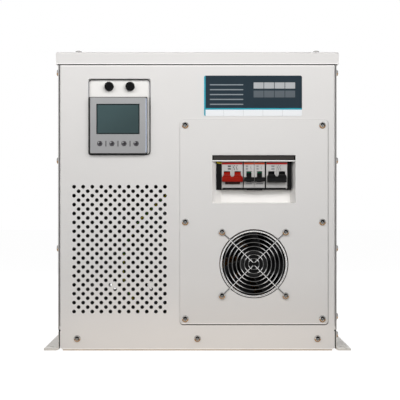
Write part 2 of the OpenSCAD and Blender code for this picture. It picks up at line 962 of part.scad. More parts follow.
// Domed push button, its front edge rounded
module meter_button(i) {
    r = button_d / 2;
    color("dimgray")
        translate([button_xs[i], meter_front - button_stand, button_z])
            rotate([-90, 0, 0])
                rotate_extrude($fn = small)
                    polygon(concat(
                        [[0, 0], [r - button_round, 0]],
                        [for (a = [-60:30:0]) [r - button_round * (1 - cos(a)), button_round * (1 + sin(a))]],
                        [[r, button_l + button_stand], [0, button_l + button_stand]]
                    ));
}

module fuse_holders() {
    color("black")
        for (x = cap_xs)
            difference() {
                union() {
                    rod_y(x, cap_z, flange_r, meter_plate_y - flange_t, meter_plate_y);
                    rod_y(x, cap_z, barrel_r, meter_plate_y - flange_t / 2, meter_back + barrel_l);
                }
                rod_y(x, cap_z, stem_r + run_gap, meter_plate_y - flange_t - over, stem_end + fit);
                rod_y(x, cap_z, link_r + run_gap, stem_end, stem_end + link_l + fit);
            }
}

module fuse_holder_nuts() {
    color("black")
        for (x = cap_xs)
            translate([x, meter_back, cap_z])
                rotate([-90, 0, 0])
                    nut(barrel_nut_r, barrel_r + run_gap, barrel_nut_h);
}

module fuse_links() {
    color("silver")
        for (x = cap_xs)
            rod_y(x, cap_z, link_r, stem_end + fit / 2, stem_end + link_l);
}

// Fuse cap with a grooved rim, a sunk face with a driver slot, and the stem that holds the link
module fuse_cap(x) {
    r = cap_d / 2;
    color("black")
        translate([x, cap_back, cap_z])
            rotate([90, 0, 0])
                difference() {
                    rotate_extrude($fn = small)
                        polygon([
                            [0, -stem_l], [stem_r, -stem_l], [stem_r, 0], [r, 0],
                            [r, cap_h - cap_round], [r - cap_round, cap_h], [r - cap_rim, cap_h],
                            [r - cap_rim - cap_sink, cap_h - cap_sink], [0, cap_h - cap_sink]
                        ]);
                    for (i = [0:cap_grooves - 1])
                        rotate([0, 0, i * 360 / cap_grooves])
                            translate([r + groove_r / 2, 0, cap_h / 4])
                                cylinder(r = groove_r, h = cap_h, $fn = small / 2);
                    translate([-cap_slot_l / 2, -cap_slot_w / 2, cap_h - 2 * cap_sink])
                        cube([cap_slot_l, cap_slot_w, cap_h]);
                }
}

module lid_screws() {
    color("silver")
        for (x = [-1, 1], y = [-1, 1])
            translate([x * (half_w - lid_screw_in), y * (body_d / 2 - side_screw_in), body_h])
                case_screw();
}

module side_screws() {
    color("silver") {
        for (share = side_screw_shares, x = [-1, 1], y = [-1, 1])
            translate([x * half_w, y * (body_d / 2 - side_screw_in), share * body_h])
                rotate([0, x * 90, 0])
                    case_screw();
        for (z = [low_screw_z, high_screw_z])
            translate([half_w, front_y + side_screw_in, z])
                rotate([0, 90, 0])
                    case_screw();
    }
}

module foot_screws() {
    for (x = [-1:1])
        translate([x * foot_screw_x, front_y, foot_screw_z])
            rotate([90, 0, 0])
                case_screw();
}

module front_panel_screws() {
    color("silver")
        foot_screws();
}

module back_panel_screws() {
    color("silver")
        rotate([0, 0, 180])
            foot_screws();
}

module service_plate_screws() {
    color("silver")
        for (x = [-1, 1], z = plate_screw_zs)
            translate([plate_x + x * plate_screw_x, plate_front, z])
                rotate([90, 0, 0])
                    case_screw();
}

// Top hat rail in side view, from its front lips back to its web
module din_rail() {
    back = rail_y + rail_deep;
    color("lightsteelblue")
        between_x(plate_x - rail_l / 2, plate_x + rail_l / 2)
            translate([0, row_z])
                for (side = [0, 1])
                    mirror([0, side])
                        polygon([
                            [rail_y, rail_w / 2], [rail_y, rail_inner_w / 2 - rail_t],
                            [back - rail_t, rail_inner_w / 2 - rail_t], [back - rail_t, -rail_t / 2],
                            [back, -rail_t / 2], [back, rail_inner_w / 2],
                            [rail_y + rail_t, rail_inner_w / 2], [rail_y + rail_t, rail_w / 2]
                        ]);
}

// Folded brackets that carry the two ends of the rail from the back of the service plate
module rail_brackets() {
    x = plate_x + rail_l / 2;
    back = rail_y + rail_deep;
    t = rail_bracket_t;
    color("lightsteelblue")
        for (side = [0, 1])
            translate([side * 2 * plate_x, 0, row_z - rail_w / 2])
                mirror([side, 0, 0])
                    linear_extrude(rail_w)
                        polygon([
                            [x + bracket_foot, front_y], [x + bracket_foot, front_y + t],
                            [x + fit + t, front_y + t], [x + fit + t, back + t],
                            [x - rail_bracket_w, back + t], [x - rail_bracket_w, back],
                            [x + fit, back], [x + fit, front_y]
                        ]);
}

// Side outline of everything that clips to the rail: nose, shoulders and the rail recess
module device_profile(terminals = true) {
    half_h = (terminals ? breaker_h : nose_h + 2 * blank_step) / 2;
    grip = rail_w / 2 + fit;
    corner = nose_h / 2 - nose_round;
    polygon([
        [rail_y, -grip], [rail_y + rail_grip_d, -grip], [rail_y + rail_grip_d, -half_h],
        [shoulder_y, -half_h], [shoulder_y, -nose_h / 2],
        [nose_y + nose_round, -nose_h / 2], [nose_y, -corner],
        [nose_y, corner], [nose_y + nose_round, nose_h / 2],
        [shoulder_y, nose_h / 2], [shoulder_y, half_h],
        [rail_y + rail_grip_d, half_h], [rail_y + rail_grip_d, grip], [rail_y, grip]
    ]);
}

// Breaker or switch of a number of poles, with lever slots, pivot bores and terminals
module device(x0, poles, neck_w) {
    color("whitesmoke")
        difference() {
            translate([0, 0, row_z])
                between_x(x0 + device_gap, x0 + poles * module_w - device_gap)
                    device_profile();
            if (poles > 1)
                block(x0 + module_w - seam_w / 2, x0 + module_w + seam_w / 2, nose_y - over, nose_y + seam_d,
                      row_z - nose_h / 2 - over, row_z + nose_h / 2 + over);
            for (i = [0:poles - 1]) {
                xc = x0 + (i + 0.5) * module_w;
                half_slot = neck_w / 2 + slot_gap;
                block(xc - half_slot, xc + half_slot, nose_y - over, lever_y + lever_drum_r + slot_gap,
                      lever_z - lever_slot_half, lever_z + lever_slot_half);
                rod_x(lever_y, lever_z, lever_pin_r + run_gap,
                      xc - half_slot - lever_pin_l, xc + half_slot + lever_pin_l);
                for (side = [-1, 1]) {
                    z = row_z + side * (nose_h + breaker_h) / 4;
                    rod_y(xc, z, terminal_r, shoulder_y - over, shoulder_y + terminal_d);
                    block(xc - terminal_r, xc + terminal_r, shoulder_y + terminal_d + entry_in,
                          shoulder_y + terminal_d + entry_in + 2 * terminal_r,
                          min(z, z + side * breaker_h), max(z, z + side * breaker_h));
                }
            }
        }
}

// Lever that turns about pins in the bores of its slots, one neck a pole, joined by its bar
module lever(x0, poles, neck_w, bar_h, bar_in) {
    for (i = [0:poles - 1]) {
        xc = x0 + (i + 0.5) * module_w;
        rod_x(lever_y, lever_z, lever_drum_r, xc - neck_w / 2, xc + neck_w / 2, fine);
        rod_x(lever_y, lever_z, lever_pin_r, xc - neck_w / 2 - slot_gap - lever_pin_l + fit,
              xc + neck_w / 2 + slot_gap + lever_pin_l - fit);
        translate([0, lever_y, lever_z])
            rotate([lever_off_angle, 0, 0]) {
                block(xc - neck_w / 2, xc + neck_w / 2, -lever_reach, 0, -neck_t / 2, neck_t / 2);
                if (poles > 1)
                    between_y(bar_round - lever_reach - bar_d / 2, bar_d / 2 - lever_reach)
                        polygon([
                            [xc - neck_w / 2 - neck_flare, 0], [xc + neck_w / 2 + neck_flare, 0],
                            [xc + neck_w / 2 + neck_flare, bar_h / 2], [xc + neck_w / 2, bar_h / 2 + flare_h],
                            [xc - neck_w / 2, bar_h / 2 + flare_h], [xc - neck_w / 2 - neck_flare, bar_h / 2]
                        ]);
            }
    }
    translate([0, lever_y, lever_z])
        rotate([lever_off_angle, 0, 0])
            between_x(x0 + bar_in, x0 + poles * module_w - bar_in)
                translate([-lever_reach, 0])
                    polygon(round_rect(bar_d, bar_h, bar_round));
}

module main_switch() {
    device(main_x, 2, main_neck_w);
}

module main_switch_lever() {
    color("firebrick")
        lever(main_x, 2, main_neck_w, main_bar_h, bar_in);
}

module input_breaker() {
    device(input_x, 1, single_neck_w);
}

module input_breaker_lever() {
    color("black")
        lever(input_x, 1, single_neck_w, single_bar_h, bar_in);
}

module output_breaker() {
    device(output_x, 1, single_neck_w);
}

module output_breaker_lever() {
    color("black")
        lever(output_x, 1, single_neck_w, single_bar_h, bar_in);
}

module output_switch() {
    device(load_x, 2, main_neck_w);
}

module output_switch_lever() {
    color("black")
        lever(load_x, 2, main_neck_w, load_bar_h, 3 * bar_in);
}

module end_blanks() {
    color("black")
        for (end = [[row_x, main_x], [load_end, row_end]])
            translate([0, 0, row_z])
                between_x(end[0] + device_gap, end[1] - device_gap)
                    device_profile(false);
}

module row_divider() {
    color("black")
        translate([0, 0, row_z])
            between_x(divider_x + device_gap, divider_x + divider_w - device_gap)
                device_profile(false);
}

// Fan housing: two square flanges on a round wall, screw posts, and the motor plate on its struts
module fan_housing() {
    color("black")
        difference() {
            union() {
                for (y = [fan_y, fan_back - fan_flange_t])
                    between_y(y, y + fan_flange_t)
                        translate([plate_x, fan_z])
                            difference() {
                                polygon(round_rect(fan_size, fan_size, fan_corner_r));
                                circle(r = fan_wall_r, $fn = fine);
                            }
                between_y(fan_y + fan_flange_t / 2, fan_back - fan_flange_t / 2)
                    translate([plate_x, fan_z])
                        difference() {
                            circle(r = fan_wall_r + fan_wall_t, $fn = fine);
                            circle(r = fan_wall_r, $fn = fine);
                        }
                for (x = [-1, 1], z = [-1, 1])
                    rod_y(plate_x + x * fan_pitch / 2, fan_z + z * fan_pitch / 2, fan_post_r,
                          fan_y + fan_flange_t / 2, fan_back - fan_flange_t / 2);
                rod_y(plate_x, fan_z, motor_r, fan_back - strut_t, fan_back, fine);
                between_y(fan_back - strut_t, fan_back)
                    translate([plate_x, fan_z])
                        for (a = [0:90:270])
                            rotate(a + 45)
                                translate([motor_r - strut_w, -strut_w / 2])
                                    square([fan_wall_r - motor_r + strut_w + fan_wall_t / 2, strut_w]);
            }
            rod_y(plate_x, fan_z, fan_shaft_r + run_gap, fan_back - strut_t - over, fan_back + over);
            for (x = [-1, 1], z = [-1, 1])
                rod_y(plate_x + x * fan_pitch / 2, fan_z + z * fan_pitch / 2, fan_screw_r + hole_gap,
                      fan_y - over, fan_back + over);
        }
}

// Section of one blade in front view: a thin strip that sweeps back as it runs out from the hub
function blade_section() =
    let (
        r0 = hub_r - blade_t,
        edge = [for (i = [0:blade_steps])
            let (share = i / blade_steps, r = r0 + (blade_tip_r - r0) * share)
            [r, blade_sweep * pow(share, blade_sweep_share)]]
    )
    concat(
        [for (p = edge) let (half_a = blade_t / p[0] * 90 / PI) [p[0] * cos(p[1] + half_a), p[0] * sin(p[1] + half_a)]],
        [for (i = [blade_steps:-1:0]) let (p = edge[i], half_a = blade_t / p[0] * 90 / PI)
            [p[0] * cos(p[1] - half_a), p[0] * sin(p[1] - half_a)]]
    );

// Fan wheel: cupped hub, twisted blades and the shaft that runs in the motor plate
module fan_rotor() {
    hub_y = fan_y + hub_front_in;
    hub_back = fan_back - strut_t - rotor_gap;
    color("black")
        union() {
            translate([plate_x, hub_back, fan_z])
                rotate([90, 0, 0])
                    rotate_extrude($fn = fine)
                        polygon([
                            [0, 0], [hub_r, 0], [hub_r, rotor_l - hub_round], [hub_r - hub_round, rotor_l],
                            [label_r, rotor_l], [label_r, rotor_l - label_sink], [0, rotor_l - label_sink]
                        ]);
            rod_y(plate_x, fan_z, fan_shaft_r, hub_back - over, fan_back - fit);
            translate([plate_x, hub_back - blade_edge_in, fan_z])
                rotate([90, 0, 0])
                    for (i = [0:blade_count - 1])
                        rotate(i * 360 / blade_count)
                            linear_extrude(rotor_l - 2 * blade_edge_in, twist = blade_twist, slices = blade_slices)
                                polygon(blade_section());
        }
}

module wire_ring(r, tube_r) {
    rotate_extrude($fn = fine)
        translate([r, 0])
            circle(r = tube_r, $fn = small / 2);
}

// Wire guard: rings that sit in the fan hole, and two bent wires over them to the four screws
module fan_guard() {
    loop_y = plate_front - eye_wire_r;
    ring_y = loop_y + wire_bite;
    corner = fan_pitch / 2;
    color("silver")
        union() {
            for (r = [for (i = [0:ring_count - 1]) ring_first_r + i * ring_step, outer_ring_r])
                translate([plate_x, ring_y, fan_z])
                    rotate([90, 0, 0])
                        wire_ring(r, wire_r);
            for (x = [-1, 1], z = [-1, 1])
                translate([plate_x + x * corner, loop_y, fan_z + z * corner])
                    rotate([90, 0, 0])
                        wire_ring(loop_r, eye_wire_r);
            for (half = [0, 1])
                translate([plate_x, loop_y, fan_z])
                    rotate([0, half * 180, 0])
                        guard_wire(corner);
        }
}

// One bent wire of the guard, from screw loop to screw loop round its apex
module guard_wire(corner) {
    angle = atan2(corner - apex_up, corner);
    bend_z = apex_up + apex_bend_r / cos(angle);
    reach = norm([corner, corner - apex_up]) - apex_bend_r * tan(angle) - loop_r;
    for (side = [0, 1])
        mirror([side, 0, 0])
            translate([apex_bend_r * sin(angle), 0, bend_z - apex_bend_r * cos(angle)])
                rotate([0, 90 - angle, 0])
                    translate([0, 0, -wire_r / 4])
                        cylinder(r = wire_r, h = reach + wire_r / 4, $fn = small / 2);
    translate([0, 0, bend_z])
        rotate([90, 0, 0])
            rotate([0, 0, 270 - angle])
                rotate_extrude(angle = 2 * angle, $fn = fine)
                    translate([apex_bend_r, 0])
                        circle(r = bend_wire_r, $fn = small / 2);
}

module fan_screws() {
    seat = plate_front - 2 * eye_wire_r;
    color("silver")
        for (x = [-1, 1], z = [-1, 1])
            translate([plate_x + x * fan_pitch / 2, 0, fan_z + z * fan_pitch / 2]) {
                translate([0, seat, 0])
                    rotate([90, 0, 0])
                        screw(fan_head_r, fan_head_h, fan_screw_r, fan_back - seat + nut_h + over);
                translate([0, fan_back, 0])
                    rotate([-90, 0, 0])
                        nut(nut_r, fan_screw_r + run_gap, nut_h);
            }
}

// Laminated core of the shell type, seen from the front with its two windows
module transformer_core() {
    color("dimgray")
        between_y(core_y - stack_d / 2, core_y + stack_d / 2)
            difference() {
                translate([core_x, core_z + core_h / 2])
                    square([core_w, core_h], center = true);
                for (x = [-1, 1])
                    translate([core_x + x * (limb_w + yoke_w) / 2, core_z + core_h / 2])
                        square([yoke_w, core_window_h], center = true);
                for (p = core_bolt_points)
                    translate(p)
                        circle(r = core_bolt_r + hole_gap, $fn = small);
            }
}

// Plan view of one layer round the centre limb, between an inner and an outer offset
module coil_layer(inner, outer) {
    translate([core_x, core_y])
        difference() {
            polygon(round_rect(limb_w + 2 * outer, stack_d + 2 * outer, outer));
            square([limb_w + 2 * inner, stack_d + 2 * inner], center = true);
        }
}

// Plan view of a winding, whose inside corners follow the layer below
module winding_layer(inner, outer) {
    translate([core_x, core_y])
        difference() {
            polygon(round_rect(limb_w + 2 * outer, stack_d + 2 * outer, outer));
            polygon(round_rect(limb_w + 2 * inner, stack_d + 2 * inner, inner));
        }
}

module coil_former() {
    lip_out = yoke_w - former_gap;
    color("ivory")
        union() {
            between_z(former_z, former_top)
                coil_layer(former_gap, former_gap + former_t);
            for (z = [former_z, former_top - former_lip])
                between_z(z, z + former_lip)
                    coil_layer(former_gap, lip_out);
        }
}

module primary_winding() {
    inner = former_gap + former_t + fit;
    color("peru")
        between_z(former_z + former_lip + fit, former_top - former_lip - fit)
            winding_layer(inner, inner + primary_t);
}

module secondary_winding() {
    inner = former_gap + former_t + 2 * fit + primary_t;
    color("goldenrod")
        between_z(former_z + former_lip + fit, former_top - former_lip - fit)
            winding_layer(inner, inner + secondary_t);
}

// Four steel angles that clamp the yokes, the lower two with their legs out as feet
module core_clamps() {
    core_top = core_z + core_h;
    color("slategray")
        difference() {
            for (side = [-1, 1], end = [0, 1]) {
                face = core_y + side * stack_d / 2;
                leg_out = face + side * clamp_t;
                foot = face + side * (clamp_t + clamp_foot);
                z0 = end == 0 ? clamp_z : core_top - clamp_w;
                z1 = end == 0 ? clamp_z + clamp_w : core_top;
                fz = end == 0 ? clamp_z : core_top - clamp_t;
                block(core_x - core_w / 2, core_x + core_w / 2, min(face, leg_out), max(face, leg_out), z0, z1);
                block(core_x - core_w / 2, core_x + core_w / 2, min(face, foot), max(face, foot), fz, fz + clamp_t);
            }
            for (p = core_bolt_points)
                rod_y(p[0], p[1], core_bolt_r + hole_gap, core_y - stack_d, core_y + stack_d);
            for (p = mount_points)
                rod_z(p[0], p[1], mount_bolt_r + hole_gap, clamp_z - over, clamp_z + clamp_t + over);
        }
}

module core_bolts() {
    face = stack_d / 2 + clamp_t;
    color("silver")
        for (p = core_bolt_points)
            translate([p[0], core_y, p[1]]) {
                translate([0, -face, 0])
                    rotate([90, 0, 0])
                        cylinder(r = bolt_head_r, h = bolt_head_h, $fn = hexagon);
                translate([0, face + bolt_head_h + over, 0])
                    rotate([90, 0, 0])
                        cylinder(r = core_bolt_r, h = 2 * face + bolt_head_h + 2 * over, $fn = small);
                translate([0, face, 0])
                    rotate([-90, 0, 0])
                        nut(bolt_head_r, core_bolt_r + run_gap, bolt_head_h);
            }
}

module transformer_pads() {
    color("black")
        for (p = mount_points)
            difference() {
                block(p[0] - pad_w / 2, p[0] + pad_w / 2, p[1] - pad_w / 2, p[1] + pad_w / 2,
                      base_h, base_h + pad_h);
                rod_z(p[0], p[1], mount_bolt_r + hole_gap, base_h - over, base_h + pad_h + over);
            }
}

module mounting_bolts() {
    color("silver")
        for (p = mount_points)
            translate([p[0], p[1], 0]) {
                translate([0, 0, clamp_z + clamp_t])
                    cylinder(r = bolt_head_r, h = bolt_head_h, $fn = hexagon);
                translate([0, 0, base_h - base_t - bolt_head_h - over])
                    cylinder(r = mount_bolt_r, h = pad_h + clamp_t + base_t + bolt_head_h + 2 * over, $fn = small);
                translate([0, 0, base_h - base_t - bolt_head_h])
                    nut(bolt_head_r, mount_bolt_r + run_gap, bolt_head_h);
            }
}

// Terminal strip of the windings on the flange of the upper front clamp
module coil_terminals() {
    y = core_y - stack_d / 2 - clamp_t - clamp_foot / 2;
    z = core_z + core_h;
    color("seashell")
        difference() {
            block(core_x - terminal_l / 2, core_x + terminal_l / 2, y - terminal_w / 2, y + terminal_w / 2,
                  z, z + terminal_h);
            for (i = [0:terminal_count - 1]) {
                x = core_x + (i - (terminal_count - 1) / 2) * terminal_l / terminal_count;
                rod_z(x, y, terminal_r, z + terminal_h / 2, z + terminal_h + over);
                block(x - terminal_r, x + terminal_r, y - terminal_w, y + terminal_w,
                      z + terminal_h / 4, z + terminal_h / 2);
            }
        }
}

// Round lead swept along its route, each ring square to the way through its point
module lead(route, r, sides) {
    n = len(route);
    ways = [for (i = [0:n - 1])
        let (way = route[min(i + 1, n - 1)] - route[max(i - 1, 0)])
        way / norm(way)];
    rings = [for (i = [0:n - 1])
        let (
            side = cross(ways[i], [0, 1, 0]) / norm(cross(ways[i], [0, 1, 0])),
            up = cross(ways[i], side)
        )
        for (k = [0:sides - 1])
            let (a = 360 * k / sides)
            route[i] + r * cos(a) * side + r * sin(a) * up];
    walls = [for (i = [0:n - 2], k = [0:sides - 1])
        let (m = (k + 1) % sides)
        [i * sides + k, (i + 1) * sides + k, (i + 1) * sides + m, i * sides + m]];
    polyhedron(
        points = rings,
        faces = concat(
            [[for (k = [0:sides - 1]) k]],
            walls,
            [[for (k = [sides - 1:-1:0]) (n - 1) * sides + k]]
        )
    );
}

// Green and yellow lead with a ring lug and a crimped sleeve at each end
module earth_lead() {
    foot = earth_route[0];
    lug_z = base_h + stud_foot_h;
    color("yellowgreen") {
        lead(earth_route, earth_r, earth_sides);
        difference() {
            union() {
                rod_z(earth_stud_x, earth_y, lug_r, lug_z, lug_z + lug_t);
                block(foot[0] - sleeve_r, earth_stud_x, earth_y - sleeve_r, earth_y + sleeve_r, lug_z, lug_z + lug_t);
                rod_z(foot[0], earth_y, sleeve_r, lug_z, foot[2] + sleeve_r);
            }
            rod_z(earth_stud_x, earth_y, earth_stud_r + hole_gap, lug_z - over, lug_z + lug_t + over);
        }
        difference() {
            union() {
                rod_y(earth_end_x, earth_end_z, lug_r, earth_lug_y, earth_lug_y + lug_t);
                rod_z(earth_end_x, earth_lug_y, sleeve_r, earth_end_z - lug_r - sleeve_l, earth_end_z - stud_foot_r - fit);
            }
            rod_y(earth_end_x, earth_end_z, earth_stud_r + hole_gap, earth_lug_y - over, earth_lug_y + sleeve_l);
        }
    }
}

// Body of a cable gland from the thread inside the case out to its neck, square to the panel
module gland_bodies() {
    color("black")
        for (x = gland_xs)
            translate([x, back_y, gland_z])
                rotate([-90, 0, 0])
                    difference() {
                        union() {
                            translate([0, 0, -sheet_t - gland_inner_l])
                                cylinder(r = gland_thread_r, h = sheet_t + gland_inner_l + over, $fn = fine);
                            cylinder(r = gland_hex_r, h = gland_hex_h, $fn = hexagon);
                            cylinder(r = gland_neck_r, h = gland_hex_h + gland_neck_l, $fn = fine);
                        }
                        translate([0, 0, -sheet_t - gland_inner_l - over])
                            cylinder(r = gland_bore_r, $fn = fine,
                                     h = sheet_t + gland_inner_l + gland_hex_h + gland_neck_l + 2 * over);
                    }
}

// Dome nut over the neck of each gland
module gland_dome_nuts() {
    start = gland_hex_h + fit;
    top = gland_hex_h + gland_neck_l + fit;
    wall_r = gland_neck_r + fit;
    outer_r = wall_r + dome_wall;
    end_r = gland_bore_r + dome_wall;
    color("black")
        for (x = gland_xs)
            translate([x, back_y, gland_z])
                rotate([-90, 0, 0])
                    rotate_extrude($fn = fine)
                        polygon([
                            [wall_r, start], [outer_r, start], [outer_r, top - dome_wall],
                            [end_r, top + dome_wall], [gland_bore_r, top + dome_wall],
                            [gland_bore_r, top], [wall_r, top]
                        ]);
}

module gland_locknuts() {
    color("black")
        for (x = gland_xs)
            translate([x, back_y - sheet_t - locknut_h, gland_z])
                rotate([-90, 0, 0])
                    nut(gland_hex_r, gland_thread_r + run_gap, locknut_h);
}

base_frame();
front_panel();
left_side_panel();
right_side_panel();
back_panel();
lid();
service_plate();
recess_tray();
recess_hood();
data_plate();
meter_plate();
lid_screws();
side_screws();
front_panel_screws();
back_panel_screws();
service_plate_screws();
meter_plate_nuts();
rail_brackets();
din_rail();
end_blanks();
row_divider();
main_switch();
main_switch_lever();
input_breaker();
input_breaker_lever();
output_breaker();
output_breaker_lever();
output_switch();
output_switch_lever();
meter_case_body();
meter_fascia();
meter_display();
meter_clamps();
meter_button(0);  // meter_button_1
meter_button(1);  // meter_button_2
meter_button(2);  // meter_button_3
meter_button(3);  // meter_button_4
fuse_holders();
fuse_holder_nuts();
fuse_links();
fuse_cap(cap_xs[0]);  // fuse_cap_left
fuse_cap(cap_xs[1]);  // fuse_cap_right
fan_housing();
fan_rotor();
fan_guard();
fan_screws();
transformer_core();
coil_former();
primary_winding();
secondary_winding();
core_clamps();
core_bolts();
transformer_pads();
mounting_bolts();
coil_terminals();
earth_lead();
gland_bodies();
gland_dome_nuts();
gland_locknuts();
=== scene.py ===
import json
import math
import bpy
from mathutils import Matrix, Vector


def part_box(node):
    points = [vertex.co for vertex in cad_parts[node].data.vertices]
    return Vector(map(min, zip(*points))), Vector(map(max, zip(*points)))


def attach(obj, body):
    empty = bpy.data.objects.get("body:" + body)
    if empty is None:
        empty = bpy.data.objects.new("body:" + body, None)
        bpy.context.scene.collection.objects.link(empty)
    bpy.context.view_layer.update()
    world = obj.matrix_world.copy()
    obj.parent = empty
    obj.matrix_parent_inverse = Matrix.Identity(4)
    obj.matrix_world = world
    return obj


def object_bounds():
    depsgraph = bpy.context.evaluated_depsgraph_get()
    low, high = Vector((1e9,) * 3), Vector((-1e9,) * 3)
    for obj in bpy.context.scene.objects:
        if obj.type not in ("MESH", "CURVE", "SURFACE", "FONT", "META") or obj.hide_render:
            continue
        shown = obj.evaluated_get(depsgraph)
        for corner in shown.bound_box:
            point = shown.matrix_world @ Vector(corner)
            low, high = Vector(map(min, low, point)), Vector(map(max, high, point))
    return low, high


bl_info = {
    "name": "Isolation Transformer Finishes",
    "version": (1, 0, 0),
    "blender": (4, 5, 0),
    "location": "View3D > Sidebar > Transformer",
    "description": "Finishes and small details of a cased isolation transformer",
    "category": "Object",
}

import bmesh
import bpy
from bpy.props import FloatProperty, FloatVectorProperty, IntProperty, PointerProperty
from bpy.types import Operator, Panel, PropertyGroup
from mathutils import Matrix, Vector

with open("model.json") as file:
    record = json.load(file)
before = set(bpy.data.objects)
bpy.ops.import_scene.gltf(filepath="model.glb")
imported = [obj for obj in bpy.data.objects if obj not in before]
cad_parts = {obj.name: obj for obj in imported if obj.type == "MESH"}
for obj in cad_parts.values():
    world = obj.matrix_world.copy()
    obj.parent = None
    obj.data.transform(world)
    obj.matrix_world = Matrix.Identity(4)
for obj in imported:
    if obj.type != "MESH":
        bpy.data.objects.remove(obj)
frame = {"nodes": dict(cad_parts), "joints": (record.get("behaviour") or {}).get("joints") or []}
cad_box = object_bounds()

MM = 0.001


def screen(red, green, blue):
    """Linear colour of a screen colour given from 0 to 255."""
    shares = [value / 255 for value in (red, green, blue)]
    return tuple(s / 12.92 if s <= 0.04045 else ((s + 0.055) / 1.055) ** 2.4 for s in shares)


def colour(name, description, default):
    """Property that holds a colour."""
    return FloatVectorProperty(name=name, description=description, subtype="COLOR", size=3,
                               min=0, max=1, default=default)


def length(name, description, default):
    """Property that holds a length in metres."""
    return FloatProperty(name=name, description=description, unit="LENGTH", min=0, precision=5,
                         default=default)


def share(name, description, default):
    """Property that holds a value from 0 to 1."""
    return FloatProperty(name=name, description=description, subtype="FACTOR", min=0, max=1,
                         default=default)


def power(name, description, default):
    """Property that holds the power of a lamp."""
    return FloatProperty(name=name, description=description, unit="POWER", default=default)


class CaseProperties(PropertyGroup):
    paint: colour("Case paint", "Powder coat of the panels and the lid", screen(223, 221, 219))
    inner_paint: colour("Inner paint", "Coat of the recess and the plate behind the meter",
                        screen(241, 239, 236))
    hood_paint: colour("Hood paint", "Coat of the strip under the ceiling of the recess",
                       screen(60, 58, 56))
    # Painted highlight on the lip under the dark strip
    lip_highlight_paint: colour("Lip paint", "Coat of the lip under the strip", screen(252, 251, 250))
    # Painted highlight on the rim round the window
    rim_highlight_paint: colour("Rim paint", "Coat of the rim round the window", screen(232, 230, 228))
    # Painted shade in the seam round the service plate
    seam_shade_paint: colour("Seam paint", "Coat in the seam of the service plate", screen(178, 176, 174))
    # Painted contact shadow under the front panel
    contact_shadow_paint: colour("Hem colour", "Warm line under the front panel", screen(190, 168, 142))
    foot_metal: colour("Base coat", "Coat of the base and its feet", screen(222, 218, 211))
    roughness: share("Paint roughness", "Roughness of the powder coat", 0.5)
    grain: length("Grain size", "Size of the grain of the powder coat", 0.7 * MM)
    edge: length("Edge radius", "Softened radius of the sheet edges", 0.5 * MM)
    corner: length("Corner radius", "Rounding of the lower corners of the front panel", 6.6 * MM)
    vent_pitch: length("Vent pitch", "Distance between the vent holes of a row", 15.0 * MM)
    vent_step: length("Vent rows", "Distance from one row of vent holes to the next", 7.36 * MM)
    vent_z: length("Vent height", "Height of the lowest row of vent holes", 64.6 * MM)
    # Painted shade round each vent hole reaches this radius
    vent_shade_r: length("Vent radius", "Radius of the dark edge of the vent holes", 3.1 * MM)


class MetalProperties(PropertyGroup):
    screw: colour("Screws", "Bright plated screws", (0.62, 0.61, 0.59))
    wire: colour("Guard wire", "Bright plated wire of the fan guard", (0.80, 0.80, 0.80))
    zinc: colour("Zinc", "Zinc plate of the rail, nuts and bolts", (0.47, 0.49, 0.51))
    core: colour("Core", "Varnished laminations of the core", (0.060, 0.064, 0.072))
    brass: colour("Fuse ends", "Nickel plated brass of the fuses", (0.60, 0.56, 0.46))
    cut: colour("Cut edge", "Bare edge of the opening of the meter", screen(132, 132, 138))
    glint: colour("Glint", "Bright spot in the screw heads", screen(240, 240, 238))


class PlasticProperties(PropertyGroup):
    white: colour("White mouldings", "Breakers and switches", screen(190, 188, 186))
    black: colour("Black mouldings", "Levers, strips, caps and the fan", screen(18, 18, 19))
    red: colour("Red lever", "Lever of the main switch", screen(148, 26, 14))
    grey: colour("Meter face", "Grey face of the meter", screen(164, 164, 165))
    button: colour("Meter buttons", "Buttons of the meter", screen(78, 76, 80))
    cream: colour("Cream mouldings", "Coil former and terminal strip", screen(217, 208, 186))
    glass: colour("Display", "Dark glass of the display", screen(66, 86, 88))
    green: colour("Off flag", "Green sector on the levers of the single breakers", screen(26, 92, 64))
    stripe: colour("Red stripe", "Stripe on the two pole devices", screen(206, 24, 18))
    warm_stripe: colour("Orange stripe", "Stripe on the single breakers", screen(228, 74, 34))
    sign: colour("Contact signs", "Signs and short bars on the main switch", screen(52, 52, 56))
    faint: colour("Faint marks", "Lines and signs on the other noses", screen(128, 128, 130))
    slot: colour("Slot shade", "Warm shade in the slot of the main switch", screen(66, 44, 42))
    # Painted highlight along the side of the meter
    side: colour("Meter side", "Bright line beside the face of the meter", screen(206, 218, 242))
    # Painted highlight on the rim of the fan hole
    fan_rim: colour("Fan rim", "Rolled rim of the hole of the fan", screen(246, 244, 241))
    # Painted shadow just outside that rim
    fan_gap_shadow: colour("Fan gap", "Gap outside the rolled rim", screen(70, 66, 62))


class PlateProperties(PropertyGroup):
    ground: colour("Plate ground", "Dark field of the data plate", screen(28, 44, 54))
    rule: colour("Plate rules", "Pale blank lines on the dark field", screen(172, 180, 186))
    band: colour("Plate band", "Pale band of the data plate", screen(236, 238, 240))
    line: colour("Plate line", "Teal line of the data plate", screen(26, 156, 178))
    line_w: length("Line width", "Width of the teal line", 2.6 * MM)
    band_h: length("Band height", "Height of the pale band", 10.5 * MM)


class WindingProperties(PropertyGroup):
    copper: colour("Windings", "Varnished wire and film of the windings", screen(190, 120, 48))
    turn: length("Wire pitch", "Distance from turn to turn", 2.4 * MM)
    lead_green: colour("Lead green", "Green of the earth lead", screen(58, 120, 44))
    lead_yellow: colour("Lead yellow", "Yellow of the earth lead", screen(222, 200, 44))


